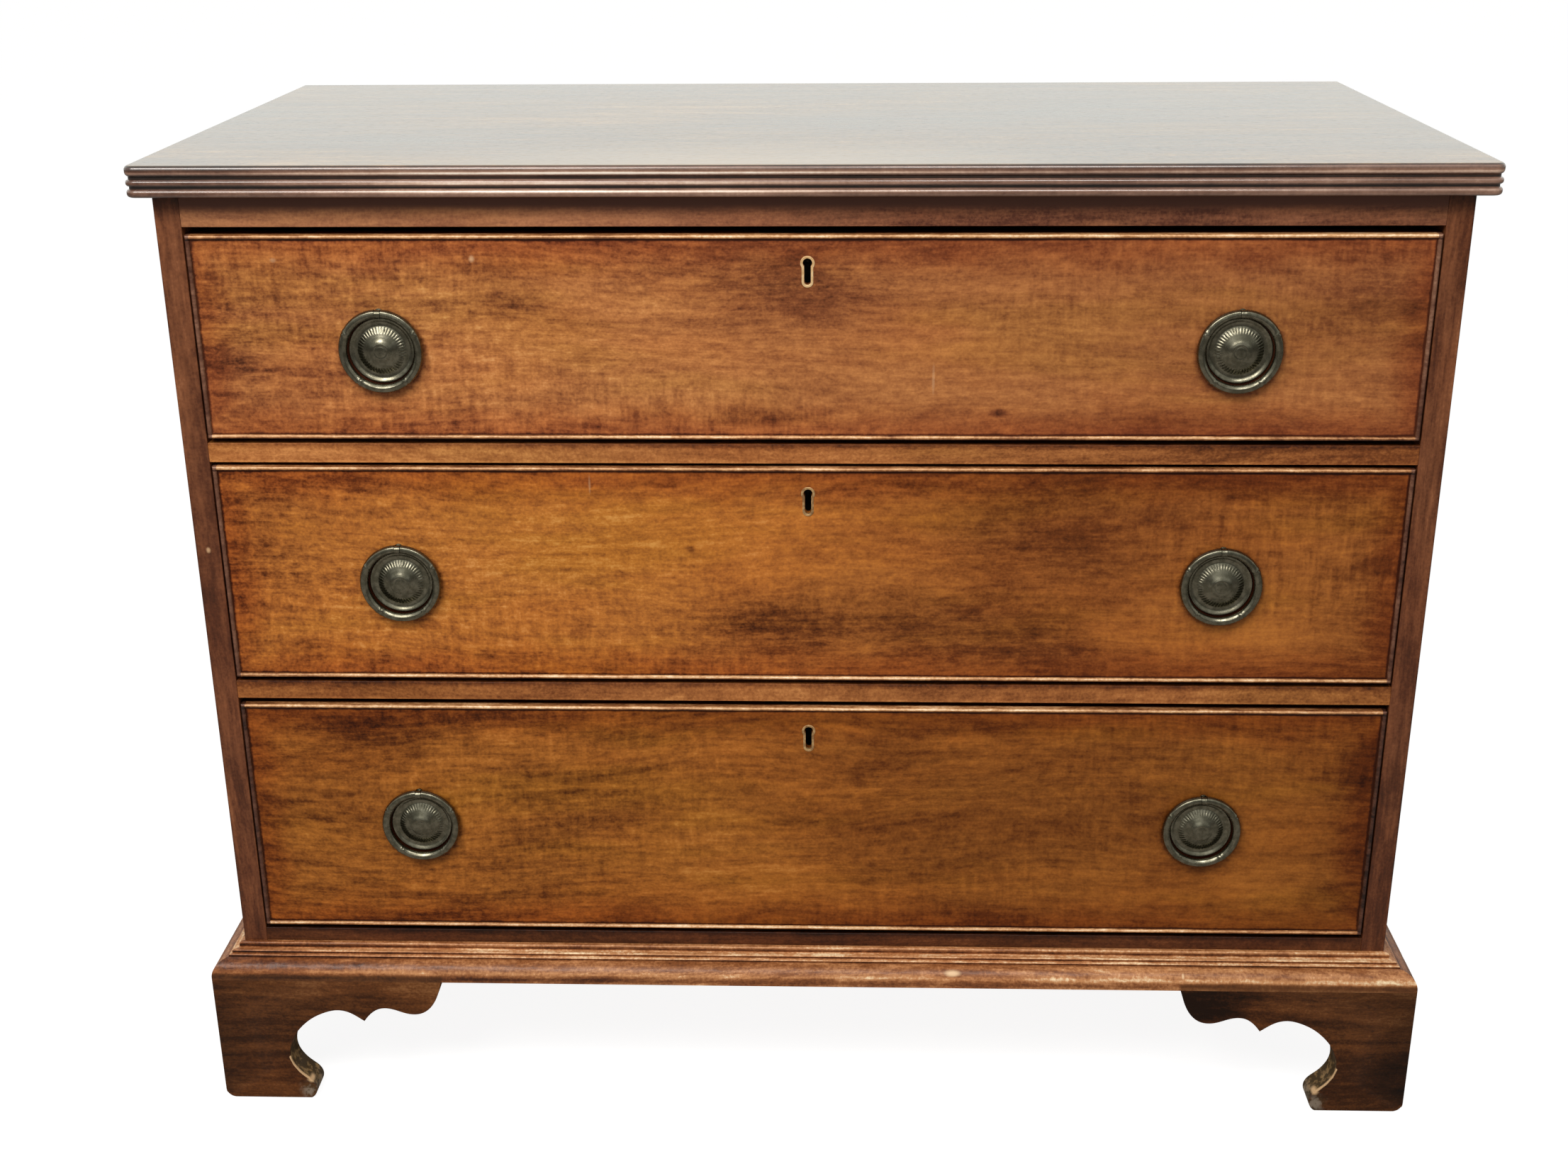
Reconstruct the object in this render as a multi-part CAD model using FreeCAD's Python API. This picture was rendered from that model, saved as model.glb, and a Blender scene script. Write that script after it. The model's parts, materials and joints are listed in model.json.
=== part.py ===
"""Chest of three long drawers on bracket feet, made piece by piece as a cabinetmaker would.

Millimetres, +Z up. The drawers open towards -Y and the chest is symmetric about X = 0.
The pieces are drawn with Y = 0 on the front plane of the carcase and Z = 0 on the floor.
`export` then moves them along Y, so that the origin is the centre of the footprint.
"""

import FreeCAD
import Part

import math
import os
from collections import namedtuple

from FreeCAD import Vector

# ---------------------------------------------------------------- carcase
carcase_width = 1000.0
carcase_depth = 503.0
side_thickness = 20.0
drawer_rail_height = 16.0
frieze_height = 24.6
bottom_rail_height = 12.5
rail_depth = 60.0
back_rail_depth = 50.0
plinth_rail_depth = 30.0
tenon_length = 8.0
tenon_setback = 10.0          # from the front and back faces of a rail
tenon_shoulder = 2.0          # above and below a tenon
dust_board_thickness = 7.0
dust_board_tongue = 6.0
runner_width = 25.0
back_thickness = 12.0
back_recess = 2.0             # of the back boards from the rear edges of the sides
back_rebate = 10.0            # width of the rebate that holds the back boards
back_board_count = 4
back_board_gap = 1.0

# ---------------------------------------------------------------- top board
top_overhang = 15.6           # beyond the carcase at the front and both ends
top_corner_radius = 8.5
upper_reed = 8.6              # heights of the three reeds along the edge
middle_reed = 4.8
lower_reed = 6.1
reed_groove = 2.25            # height of the two grooves between them
reed_depth = 2.2
reed_rounding = 0.42          # share of a reed's height that each corner is rounded by
most_reed_rounding = 4.1

# ---------------------------------------------------------------- base moulding
moulding_face = 2.5           # plain band along the bottom edge
ovolo_width = 13.0
ovolo_rise = 14.0
quirk_rise = 0.7
lower_bead_width = 2.6
upper_bead_width = 5.4
bead_step_rise = 3.0
bead_rounding = 1.1
cap_width = 4.0
cap_rise = 5.0
cap_rounding = 2.0

# ---------------------------------------------------------------- bracket feet
foot_height = 122.2
foot_width = 202.0
foot_thickness = 24.0
foot_corner_rounding = 9.0    # of the worn outer corner at the floor
back_foot_width = 120.0
back_foot_toe = 48.0
back_foot_arch = 62.0         # height of the rear bracket's inner end above the floor
back_foot_thickness = 20.0
corner_block = 20.0
corner_block_lift = 12.0      # above the floor
rail_block = 22.0
rail_block_length = 95.0

# Lower edge of a bracket, from the toe to the cusp and from the cusp to the inner end,
# as shares of the bracket's width and height.
TOE_SHARES = (
    (0.381, 0.0), (0.405, 0.045), (0.409, 0.090), (0.394, 0.147), (0.359, 0.200),
    (0.329, 0.258), (0.311, 0.319), (0.306, 0.385), (0.313, 0.450), (0.334, 0.532),
    (0.369, 0.610), (0.421, 0.686), (0.480, 0.736), (0.540, 0.757), (0.589, 0.738),
    (0.624, 0.702), (0.652, 0.668),
)
WING_SHARES = (
    (0.652, 0.668), (0.683, 0.731), (0.720, 0.771), (0.760, 0.777), (0.800, 0.760),
    (0.837, 0.738), (0.874, 0.729), (0.911, 0.741), (0.948, 0.787), (0.975, 0.857),
    (0.992, 0.933), (1.0, 1.0),
)

# ---------------------------------------------------------------- drawers
top_front_height = 162.5
middle_front_height = 184.5
bottom_front_height = 213.5
top_head_gap = 6.0            # between a drawer front and the rail above it
middle_head_gap = 3.0
bottom_head_gap = 5.0
sill_gap = 4.0                # between a drawer front and the rail below it
side_gap = 1.5                # between a drawer and the carcase sides
running_gap = 0.3             # between a drawer side and its runners, and at the stops
front_thickness = 19.0
drawer_side_thickness = 10.0
drawer_side_drop = 5.0        # of the sides below the top of the front
drawer_back_thickness = 10.0
drawer_back_drop = 12.0       # of the back below the top of the sides
drawer_back_gap = 21.0        # between a drawer's rear and the back boards, when it is shut
drawer_bottom_thickness = 7.0
drawer_bottom_lift = 10.0     # above the lower edges of the sides
drawer_groove = 5.0
dovetail_lap = 6.5            # of the front in front of the tails
dovetail_pitch = 44.0
dovetail_share = 0.52         # of the pitch that a tail's root takes
dovetail_slope = 1.0 / 6.0
bead_width = 3.5
bead_proud = 2.0
bead_depth = 5.0
stop_length = 45.0
stop_depth = 22.0
stop_height = 8.0
stop_spacing = 600.0

# ---------------------------------------------------------------- locks
keyhole_drop = 22.0           # of the keyhole's round head below the top of the front
keyhole_head = 7.2
keyhole_slot = 5.0
keyhole_length = 14.5         # from the centre of the head to that of the slot's round end
escutcheon_wall = 2.0
escutcheon_depth = 3.0
escutcheon_proud = 0.4
lock_width = 64.0
lock_height = 44.0
lock_depth = 11.0
lock_wall = 1.5
selvedge_width = 74.0
selvedge_depth = 13.0
selvedge_thickness = 2.5
lock_pin_radius = 1.2
bolt_width = 20.0
bolt_body_width = 40.0
bolt_thickness = 5.0
bolt_body_height = 8.0
bolt_throw = 9.0
bolt_clearance = 0.3
mortise_clearance = 1.5
bolt_setback = 1.5            # of the bolt in front of the case's back wall

# ---------------------------------------------------------------- ring handles
handle_inset = 145.5          # of a handle's centre from the end of its drawer front
top_handle_drop = 9.0         # of a handle's centre below the middle of its drawer front
middle_handle_drop = 6.5
bottom_handle_drop = 5.0
plate_diameter = 51.0
plate_thickness = 1.2
plate_rim_height = 2.3
plate_dome_height = 6.6
ring_bar = 6.3
ring_gap = 1.2                # between the plate's edge and the ring
ring_clearance = 0.15         # between the plate's rim and the back of the ring
hinge_pin_radius = 1.5
hinge_pin_clearance = 0.06
knuckle_width = 4.2
knuckle_play = 0.3            # at each side of a knuckle
knuckle_radius = 3.2
lug_radius = 5.2
lug_thickness = 1.0
collar_radius = 3.5
collar_thickness = 0.8
post_neck_radius = 2.0
stem_radius = 2.2
stem_clearance = 0.1
stem_end = 6.0                # that shows behind a drawer front
nut_radius = 4.8
nut_thickness = 3.5

# Section of a handle plate. Pairs are shares of the plate's radius and of its dome's height,
# and an arc is given by its middle and its end. Single values are shares of the radius.
DOME_EDGE_SHARES = (0.32, 0.86)
RAISED_RING_SHARES = ((0.42, 0.92), (0.46, 0.80))
ROUNDED_BAND_SHARES = ((0.55, 0.74), (0.63, 0.60))
BAND_SHOULDER_SHARES = (0.76, 0.50)
SUNK_INNER_SHARE = 0.82
SUNK_OUTER_SHARE = 0.89
RIM_CREST_SHARE = 0.95
HOLLOW_EDGE_SHARE = 0.76

# ---------------------------------------------------------------- worked out from the above
half_width = carcase_width / 2
inner_half = half_width - side_thickness
back_face = carcase_depth - back_recess
back_plane = back_face - back_thickness
drawer_length = back_plane - drawer_back_gap     # from a front's face to the drawer's rear

top_thickness = upper_reed + middle_reed + lower_reed + 2 * reed_groove

base_reach = ovolo_width + lower_bead_width + upper_bead_width + cap_width
moulding_height = (moulding_face + ovolo_rise + quirk_rise + bead_rounding
                   + bead_step_rise + cap_rise)
carcase_bottom = foot_height + moulding_height

front_half = inner_half - side_gap
drawer_side_inner = front_half - drawer_side_thickness
handle_x = front_half - handle_inset

ring_radius = plate_diameter / 2 + ring_gap + ring_bar / 2
hinge_standoff = plate_rim_height + ring_clearance + ring_bar / 2
bolt_rear = front_thickness - lock_wall - bolt_setback
bolt_front = bolt_rear - bolt_thickness

Bay = namedtuple("Bay", "number sill head front_bottom front_top side_bottom side_top handle_z")


def drawer_bays():
    """The three drawer spaces with the levels of their drawers, from the bottom up."""
    sizes = (
        (3, bottom_front_height, bottom_head_gap, bottom_handle_drop),
        (2, middle_front_height, middle_head_gap, middle_handle_drop),
        (1, top_front_height, top_head_gap, top_handle_drop),
    )
    bays = []
    sill = carcase_bottom + bottom_rail_height
    for number, height, head_gap, handle_drop in sizes:
        front_bottom = sill + sill_gap
        front_top = front_bottom + height
        head = front_top + head_gap
        bays.append(Bay(
            number, sill, head, front_bottom, front_top,
            side_bottom=sill + running_gap,
            side_top=front_top - drawer_side_drop,
            handle_z=front_bottom + height / 2 - handle_drop,
        ))
        sill = head + drawer_rail_height
    return bays


BAYS = drawer_bays()
BOTTOM_BAY, MIDDLE_BAY, TOP_BAY = BAYS
carcase_top = TOP_BAY.head + frieze_height
origin_y = (carcase_depth - max(base_reach, top_overhang)) / 2

PIECES = {}


# ---------------------------------------------------------------- helpers
def box(x0, x1, y0, y1, z0, z1):
    return Part.makeBox(x1 - x0, y1 - y0, z1 - z0, Vector(x0, y0, z0))


def rod(radius, start, direction, length):
    return Part.makeCylinder(radius, length, start, direction)


def mirrored(shape):
    """The same piece on the other side of the chest."""
    return shape.mirror(Vector(0, 0, 0), Vector(1, 0, 0))


def moved(shape, x=0.0, y=0.0, z=0.0):
    copy = shape.copy()
    copy.translate(Vector(x, y, z))
    return copy


def joined(shapes):
    return shapes[0].fuse(shapes[1:]).removeSplitter()


def line(start, end):
    return Part.LineSegment(start, end).toShape()


def arc(start, middle, end):
    return Part.Arc(start, middle, end).toShape()


def quarter(start, corner, end):
    """A quarter of an ellipse that is tangent to both legs of a corner."""
    curve = Part.BezierCurve()
    curve.setPoles([start, corner, end])
    curve.setWeight(2, math.sqrt(0.5))
    return curve.toShape()


def smooth(points):
    curve = Part.BSplineCurve()
    curve.interpolate(points)
    return curve.toShape()


def face_of(edges):
    return Part.Face(Part.Wire(edges))


def prism(points, direction):
    """A polygon of points, pushed along a direction."""
    return Part.Face(Part.makePolygon(points + points[:1])).extrude(direction)


def upright(outline, z0, z1):
    """A prism that stands on the plan outline given by (x, y) pairs."""
    return prism([Vector(x, y, z0) for x, y in outline], Vector(0, 0, z1 - z0))


def keep(name, *solids):
    """Files the solids of one piece, or one set of like pieces, under its name."""
    PIECES[name] = Part.makeCompound(list(solids)) if len(solids) > 1 else solids[0]


# ---------------------------------------------------------------- top board
def top_layer(reach, z0, height):
    """A slab of the top board's plan with its two front corners rounded."""
    slab = box(-half_width - reach, half_width + reach, -reach, carcase_depth, z0, z0 + height)
    corners = [
        edge for edge in slab.Edges
        if edge.BoundBox.ZLength > height / 2 and edge.CenterOfMass.y < 0
    ]
    return slab.makeFillet(top_corner_radius - top_overhang + reach, corners)


def reed(z0, height):
    """A layer whose front and end edges are rounded to a reed."""
    slab = top_layer(top_overhang, z0, height)
    rims = [
        edge for edge in slab.Edges
        if edge.BoundBox.ZLength < height / 2
        and edge.CenterOfMass.y < carcase_depth - top_corner_radius
    ]
    return slab.makeFillet(min(reed_rounding * height, most_reed_rounding), rims)


def make_top_board():
    layers = []
    level = carcase_top
    for height in (lower_reed, middle_reed, upper_reed):
        layers.append(reed(level, height))
        level += height
        if height != upper_reed:
            layers.append(top_layer(top_overhang - reed_depth, level, reed_groove))
            level += reed_groove
    keep("top_board", joined(layers))


# ---------------------------------------------------------------- carcase
def rail(z0, z1, y0, y1):
    """A cross rail with a stub tenon at each end."""
    body = box(-inner_half, inner_half, y0, y1, z0, z1)
    tenon = box(
        -inner_half - tenon_length, inner_half + tenon_length,
        y0 + tenon_setback, y1 - tenon_setback, z0 + tenon_shoulder, z1 - tenon_shoulder,
    )
    return joined([body, tenon])


def bolt_mortise(bay):
    """The hollow above a drawer that its lock bolt shoots into."""
    half = bolt_width / 2 + mortise_clearance
    return box(
        -half, half, bolt_front - mortise_clearance, bolt_rear + mortise_clearance,
        bay.head, bay.head + bolt_throw,
    )


def dust_board(z0, z1):
    """A thin board between two drawers, tongued into the rail and the runners."""
    middle = (z0 + z1) / 2
    edge = inner_half - runner_width + dust_board_tongue
    return box(
        -edge, edge, rail_depth - dust_board_tongue, back_plane,
        middle - dust_board_thickness / 2, middle + dust_board_thickness / 2,
    )


def runner(z0, z1, board):
    """The bearer along one side that a drawer slides on."""
    strip = box(inner_half - runner_width, inner_half, rail_depth, back_plane, z0, z1)
    return strip.cut(board)


def make_carcase_frame():
    frames = (
        ("bottom_rail", carcase_bottom, BOTTOM_BAY.sill, None),
        ("lower_drawer_rail", BOTTOM_BAY.head, MIDDLE_BAY.sill, BOTTOM_BAY),
        ("upper_drawer_rail", MIDDLE_BAY.head, TOP_BAY.sill, MIDDLE_BAY),
    )
    boards = []
    runners = []
    for name, z0, z1, bay_below in frames:
        board = dust_board(z0, z1)
        cross = rail(z0, z1, 0, rail_depth).cut(board)
        if bay_below:
            cross = cross.cut(bolt_mortise(bay_below))
        keep(name, cross)
        boards.append(board)
        strip = runner(z0, z1, board)
        runners += [strip, mirrored(strip)]
    keep("dust_boards", *boards)
    keep("drawer_runners", *runners)

    frieze = rail(TOP_BAY.head, carcase_top, 0, rail_depth)
    keep("frieze_rail", frieze.cut(bolt_mortise(TOP_BAY)))
    back_rail_front = back_plane - back_rail_depth
    keep("top_back_rail", rail(TOP_BAY.head, carcase_top, back_rail_front, back_plane))
    kicker = box(
        inner_half - runner_width, inner_half, rail_depth, back_rail_front,
        TOP_BAY.head, carcase_top,
    )
    keep("drawer_kickers", kicker, mirrored(kicker))
    keep(
        "plinth_rails",
        box(-inner_half, inner_half, 0, plinth_rail_depth, foot_height, carcase_bottom),
        box(-inner_half, inner_half, back_plane - plinth_rail_depth, back_plane,
            foot_height, carcase_bottom),
    )


def make_sides():
    """The two ends, housed for the rail tenons and rebated for the back boards."""
    side = box(inner_half, half_width, 0, carcase_depth, foot_height, carcase_top)
    rebate = box(
        inner_half, inner_half + back_rebate, back_plane, carcase_depth,
        foot_height, carcase_top,
    )
    side = side.cut(rebate)
    for name in ("bottom_rail", "lower_drawer_rail", "upper_drawer_rail", "frieze_rail",
                 "top_back_rail"):
        side = side.cut(PIECES[name])
    keep("side_right", side)
    keep("side_left", mirrored(side))


def make_back_boards():
    span = 2 * (inner_half + back_rebate)
    width = (span - (back_board_count - 1) * back_board_gap) / back_board_count
    boards = []
    for index in range(back_board_count):
        x0 = -span / 2 + index * (width + back_board_gap)
        boards.append(box(x0, x0 + width, back_plane, back_face, foot_height, carcase_top))
    keep("back_boards", *boards)


def make_drawer_stops():
    """Two small blocks on each rail that a drawer front comes to rest against."""
    y0 = front_thickness + running_gap
    stops = []
    for bay in BAYS:
        x0 = (stop_spacing - stop_length) / 2
        stop = box(x0, x0 + stop_length, y0, y0 + stop_depth, bay.sill, bay.sill + stop_height)
        stops += [stop, mirrored(stop)]
    keep("drawer_stops", *stops)


# ---------------------------------------------------------------- base moulding and feet
def moulding_profile():
    """Section of the base moulding in the YZ plane, its back on the carcase at Y = 0."""
    def at(reach, rise):
        return Vector(0, -reach, foot_height + rise)

    ovolo_top = moulding_face + ovolo_rise
    ovolo_back = base_reach - ovolo_width
    bead_bottom = ovolo_top + quirk_rise
    bead_top = bead_bottom + bead_rounding
    step_x = ovolo_back - lower_bead_width
    step_top = bead_top + bead_step_rise
    return face_of([
        line(at(0, 0), at(base_reach, 0)),
        line(at(base_reach, 0), at(base_reach, moulding_face)),
        quarter(at(base_reach, moulding_face), at(base_reach, ovolo_top),
                at(ovolo_back, ovolo_top)),
        line(at(ovolo_back, ovolo_top), at(ovolo_back, bead_bottom)),
        quarter(at(ovolo_back, bead_bottom), at(ovolo_back, bead_top),
                at(ovolo_back - bead_rounding, bead_top)),
        line(at(ovolo_back - bead_rounding, bead_top), at(step_x, bead_top)),
        line(at(step_x, bead_top), at(step_x, step_top - bead_rounding)),
        quarter(at(step_x, step_top - bead_rounding), at(step_x, step_top),
                at(step_x - bead_rounding, step_top)),
        line(at(step_x - bead_rounding, step_top), at(cap_width, step_top)),
        line(at(cap_width, step_top), at(cap_width, moulding_height - cap_rounding)),
        quarter(at(cap_width, moulding_height - cap_rounding), at(cap_width, moulding_height),
                at(cap_width - cap_rounding, moulding_height)),
        line(at(cap_width - cap_rounding, moulding_height), at(0, moulding_height)),
        line(at(0, moulding_height), at(0, 0)),
    ])


def make_base_moulding():
    """A front length and two returns, mitred at the front corners."""
    outer = half_width + base_reach
    front = moved(moulding_profile(), x=-outer).extrude(Vector(2 * outer, 0, 0))
    front_plan = ((-half_width, 0), (-outer, -base_reach), (outer, -base_reach), (half_width, 0))
    keep("base_moulding_front", front.common(upright(front_plan, foot_height, carcase_bottom)))

    profile = moulding_profile()
    profile.rotate(Vector(0, 0, 0), Vector(0, 0, 1), 90)
    profile.translate(Vector(half_width, -base_reach, 0))
    length = carcase_depth + base_reach
    end = profile.extrude(Vector(0, length, 0))
    end_plan = ((half_width, 0), (outer, -base_reach), (outer, carcase_depth),
                (half_width, carcase_depth))
    end = end.common(upright(end_plan, foot_height, carcase_bottom))
    keep("base_moulding_ends", end, mirrored(end))


def bracket(mitred):
    """One side of a foot: outer corner at the origin, along +X, its face on Y = 0."""
    def at(share_x, share_z):
        return Vector(share_x * foot_width, 0, share_z * foot_height)

    corner_high = Vector(0, 0, foot_corner_rounding)
    corner_in = Vector(foot_corner_rounding, 0, 0)
    board = face_of([
        line(at(0, 1), corner_high),
        quarter(corner_high, at(0, 0), corner_in),
        line(corner_in, at(*TOE_SHARES[0])),
        smooth([at(*point) for point in TOE_SHARES]),
        smooth([at(*point) for point in WING_SHARES]),
        line(at(1, 1), at(0, 1)),
    ]).extrude(Vector(0, foot_thickness, 0))
    if not mitred:
        return board
    plan = ((0, 0), (foot_width, 0), (foot_width, foot_thickness),
            (foot_thickness, foot_thickness))
    return board.common(upright(plan, 0, foot_height))


def back_bracket():
    """The plain board that closes a rear foot towards the wall."""
    outer = half_width + base_reach - foot_thickness
    inner = outer - back_foot_width
    toe = outer - back_foot_toe

    def at(x, z):
        return Vector(x, carcase_depth - back_foot_thickness, z)

    return face_of([
        line(at(outer, 0), at(outer, foot_height)),
        line(at(outer, foot_height), at(inner, foot_height)),
        line(at(inner, foot_height), at(inner, back_foot_arch)),
        quarter(at(inner, back_foot_arch), at(toe, back_foot_arch), at(toe, 0)),
        line(at(toe, 0), at(outer, 0)),
    ]).extrude(Vector(0, back_foot_thickness, 0))


def make_feet():
    outer = half_width + base_reach
    front_board = moved(bracket(mitred=True), x=-outer, y=-base_reach)
    diagonal = Vector(1, -1, 0)
    end_board = moved(bracket(mitred=True).mirror(Vector(0, 0, 0), diagonal),
                      x=-outer, y=-base_reach)
    keep("foot_front_left", front_board, end_board)
    keep("foot_front_right", mirrored(front_board), mirrored(end_board))

    rear_end = bracket(mitred=False).mirror(Vector(0, 0, 0), diagonal)
    rear_end = moved(rear_end.mirror(Vector(0, 0, 0), Vector(0, 1, 0)),
                     x=-outer, y=carcase_depth)
    closing = back_bracket()
    keep("foot_rear_left", rear_end, mirrored(closing))
    keep("foot_rear_right", mirrored(rear_end), closing)


def make_glue_blocks():
    """Corner posts inside the feet and short blocks along the tops of the brackets."""
    corner_x = half_width + base_reach - foot_thickness
    front_y = foot_thickness - base_reach
    rear_y = carcase_depth - back_foot_thickness
    inset = max(corner_block, rail_block)     # of the strips from the corner
    strip_x = corner_x - inset
    strip_z = foot_height - rail_block
    blocks = [
        box(corner_x - corner_block, corner_x, front_y, front_y + corner_block,
            corner_block_lift, foot_height),
        box(corner_x - corner_block, corner_x, rear_y - corner_block, rear_y,
            corner_block_lift, foot_height),
        box(strip_x - rail_block_length, strip_x, front_y, front_y + rail_block,
            strip_z, foot_height),
    ]
    for start, step in ((front_y + inset, 1), (rear_y - inset, -1)):
        ends = sorted((start, start + step * rail_block_length))
        blocks.append(box(corner_x - rail_block, corner_x, *ends, strip_z, foot_height))
    keep("glue_blocks", *blocks, *[mirrored(block) for block in blocks])


# ---------------------------------------------------------------- drawers
def tails(y_root, y_tip, z0, z1):
    """The dovetails at one end of a right-hand drawer side."""
    count = max(2, round((z1 - z0) / dovetail_pitch))
    pitch = (z1 - z0) / count
    root = dovetail_share * pitch / 2
    tip = root + dovetail_slope * abs(y_tip - y_root)
    shapes = []
    for index in range(count):
        middle = z0 + (index + 0.5) * pitch
        corners = ((y_root, middle - root), (y_root, middle + root),
                   (y_tip, middle + tip), (y_tip, middle - tip))
        outline = [Vector(drawer_side_inner, y, z) for y, z in corners]
        shapes.append(prism(outline, Vector(drawer_side_thickness, 0, 0)))
    return shapes


def keyhole(head_radius, slot_half, z, y0, y1):
    """A round head over a slot with a round end, cut along Y."""
    along = Vector(0, 1, 0)
    depth = y1 - y0
    head = rod(head_radius, Vector(0, y0, z), along, depth)
    slot = box(-slot_half, slot_half, y0, y1, z - keyhole_length, z)
    end = rod(slot_half, Vector(0, y0, z - keyhole_length), along, depth)
    return joined([head, slot, end])


def drawer_bottom(bay):
    z0 = bay.side_bottom + drawer_bottom_lift
    edge = drawer_side_inner + drawer_groove
    return box(-edge, edge, front_thickness - drawer_groove, drawer_length,
               z0, z0 + drawer_bottom_thickness)


def drawer_sides(bay, bottom):
    """The right and left sides, with lapped dovetails in front and through ones behind."""
    rear = drawer_length - drawer_back_thickness
    board = box(drawer_side_inner, front_half, front_thickness, rear,
                bay.side_bottom, bay.side_top)
    back_bottom = bottom.BoundBox.ZMax
    back_top = bay.side_top - drawer_back_drop
    front_tails = tails(front_thickness, dovetail_lap, bay.front_bottom, bay.side_top)
    rear_tails = tails(rear, drawer_length, back_bottom, back_top)
    right = joined([board] + front_tails + rear_tails).cut(bottom)
    return right, mirrored(right)


def drawer_back(bay, bottom, sides):
    back = box(-front_half, front_half, drawer_length - drawer_back_thickness, drawer_length,
               bottom.BoundBox.ZMax, bay.side_top - drawer_back_drop)
    return back.cut(Part.makeCompound(list(sides)))


def drawer_front(bay, bottom, sides):
    """The show board, cut for its beads, dovetails, bottom, lock, keyhole and handles."""
    board = box(-front_half, front_half, 0, front_thickness, bay.front_bottom, bay.front_top)
    inner_half_width = front_half - bead_width
    rebate = box(-front_half, front_half, 0, bead_depth, bay.front_bottom, bay.front_top)
    rebate = rebate.cut(box(-inner_half_width, inner_half_width, 0, bead_depth,
                            bay.front_bottom + bead_width, bay.front_top - bead_width))
    cuts = [rebate, bottom, lock_envelope(bay)] + list(sides)
    key_z = bay.front_top - keyhole_drop
    cuts.append(keyhole(keyhole_head / 2, keyhole_slot / 2, key_z, 0, front_thickness))
    cuts.append(keyhole(keyhole_head / 2 + escutcheon_wall, keyhole_slot / 2 + escutcheon_wall,
                        key_z, 0, escutcheon_depth))
    for side in (-1, 1):
        centre = Vector(side * handle_x, 0, bay.handle_z + ring_radius)
        cuts.append(rod(stem_radius + stem_clearance, centre, Vector(0, 1, 0), front_thickness))
    return board.cut(cuts)


def bead_strip(length):
    """One length of cock bead along +X, outer edge on Z = 0, mitred at both ends."""
    nose = bead_width / 2
    straight = nose - bead_proud
    profile = face_of([
        line(Vector(0, bead_depth, 0), Vector(0, straight, 0)),
        arc(Vector(0, straight, 0), Vector(0, -bead_proud, nose),
            Vector(0, straight, bead_width)),
        line(Vector(0, straight, bead_width), Vector(0, bead_depth, bead_width)),
        line(Vector(0, bead_depth, bead_width), Vector(0, bead_depth, 0)),
    ])
    corners = ((0, 0), (length, 0), (length - bead_width, bead_width), (bead_width, bead_width))
    envelope = prism([Vector(x, -bead_proud, z) for x, z in corners],
                     Vector(0, bead_depth + bead_proud, 0))
    return profile.extrude(Vector(length, 0, 0)).common(envelope)


def cock_beads(bay):
    width = 2 * front_half
    height = bay.front_top - bay.front_bottom
    runs = (
        (0, width, -front_half, bay.front_bottom),
        (90, height, front_half, bay.front_bottom),
        (180, width, front_half, bay.front_top),
        (270, height, -front_half, bay.front_top),
    )
    strips = []
    for angle, length, x, z in runs:
        strip = bead_strip(length)
        strip.rotate(Vector(0, 0, 0), Vector(0, -1, 0), angle)
        strips.append(moved(strip, x=x, z=z))
    return strips


def escutcheon(bay):
    key_z = bay.front_top - keyhole_drop
    outer = keyhole(keyhole_head / 2 + escutcheon_wall, keyhole_slot / 2 + escutcheon_wall,
                    key_z, -escutcheon_proud, escutcheon_depth)
    return outer.cut(keyhole(keyhole_head / 2, keyhole_slot / 2, key_z,
                             -escutcheon_proud, escutcheon_depth))


def lock_envelope(bay):
    """The lock's outside: its case under a wider plate let into the front's top edge."""
    case = box(-lock_width / 2, lock_width / 2, front_thickness - lock_depth, front_thickness,
               bay.front_top - lock_height, bay.front_top)
    selvedge = box(-selvedge_width / 2, selvedge_width / 2,
                   front_thickness - selvedge_depth, front_thickness,
                   bay.front_top - selvedge_thickness, bay.front_top)
    return joined([case, selvedge])


def lock_case(bay):
    hollow = box(-lock_width / 2 + lock_wall, lock_width / 2 - lock_wall,
                 front_thickness - lock_depth + lock_wall, front_thickness - lock_wall,
                 bay.front_top - lock_height + lock_wall, bay.front_top - selvedge_thickness)
    half_slot = bolt_width / 2 + bolt_clearance
    slot = box(-half_slot, half_slot, bolt_front - bolt_clearance, bolt_rear + bolt_clearance,
               bay.front_top - selvedge_thickness, bay.front_top)
    key_z = bay.front_top - keyhole_drop
    entry = keyhole(keyhole_head / 2, keyhole_slot / 2, key_z,
                    front_thickness - lock_depth, front_thickness - lock_depth + lock_wall)
    pin = rod(lock_pin_radius, Vector(0, front_thickness - lock_wall, key_z),
              Vector(0, -1, 0), lock_depth - lock_wall)
    return joined([lock_envelope(bay).cut([hollow, slot, entry]), pin])


def lock_bolt(bay):
    """The bolt at rest, just below the selvedge's upper face."""
    tongue_top = bay.front_top - bolt_clearance
    body_top = bay.front_top - selvedge_thickness - bolt_throw - bolt_clearance
    body = box(-bolt_body_width / 2, bolt_body_width / 2, bolt_front, bolt_rear,
               body_top - bolt_body_height, body_top)
    tongue = box(-bolt_width / 2, bolt_width / 2, bolt_front, bolt_rear, body_top, tongue_top)
    return joined([body, tongue])


# ---------------------------------------------------------------- handles
def cap_arc(edge, crown):
    """An arc from an edge in the XY plane to a crown on the Y axis, which is square to it there."""
    rise = abs(crown.y - edge.y)
    radius = (edge.x ** 2 + rise ** 2) / (2 * rise)
    half_angle = math.asin(edge.x / radius) / 2
    middle = Vector(radius * math.sin(half_angle),
                    crown.y + radius * (1 - math.cos(half_angle)), 0)
    return arc(edge, middle, crown)


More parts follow.
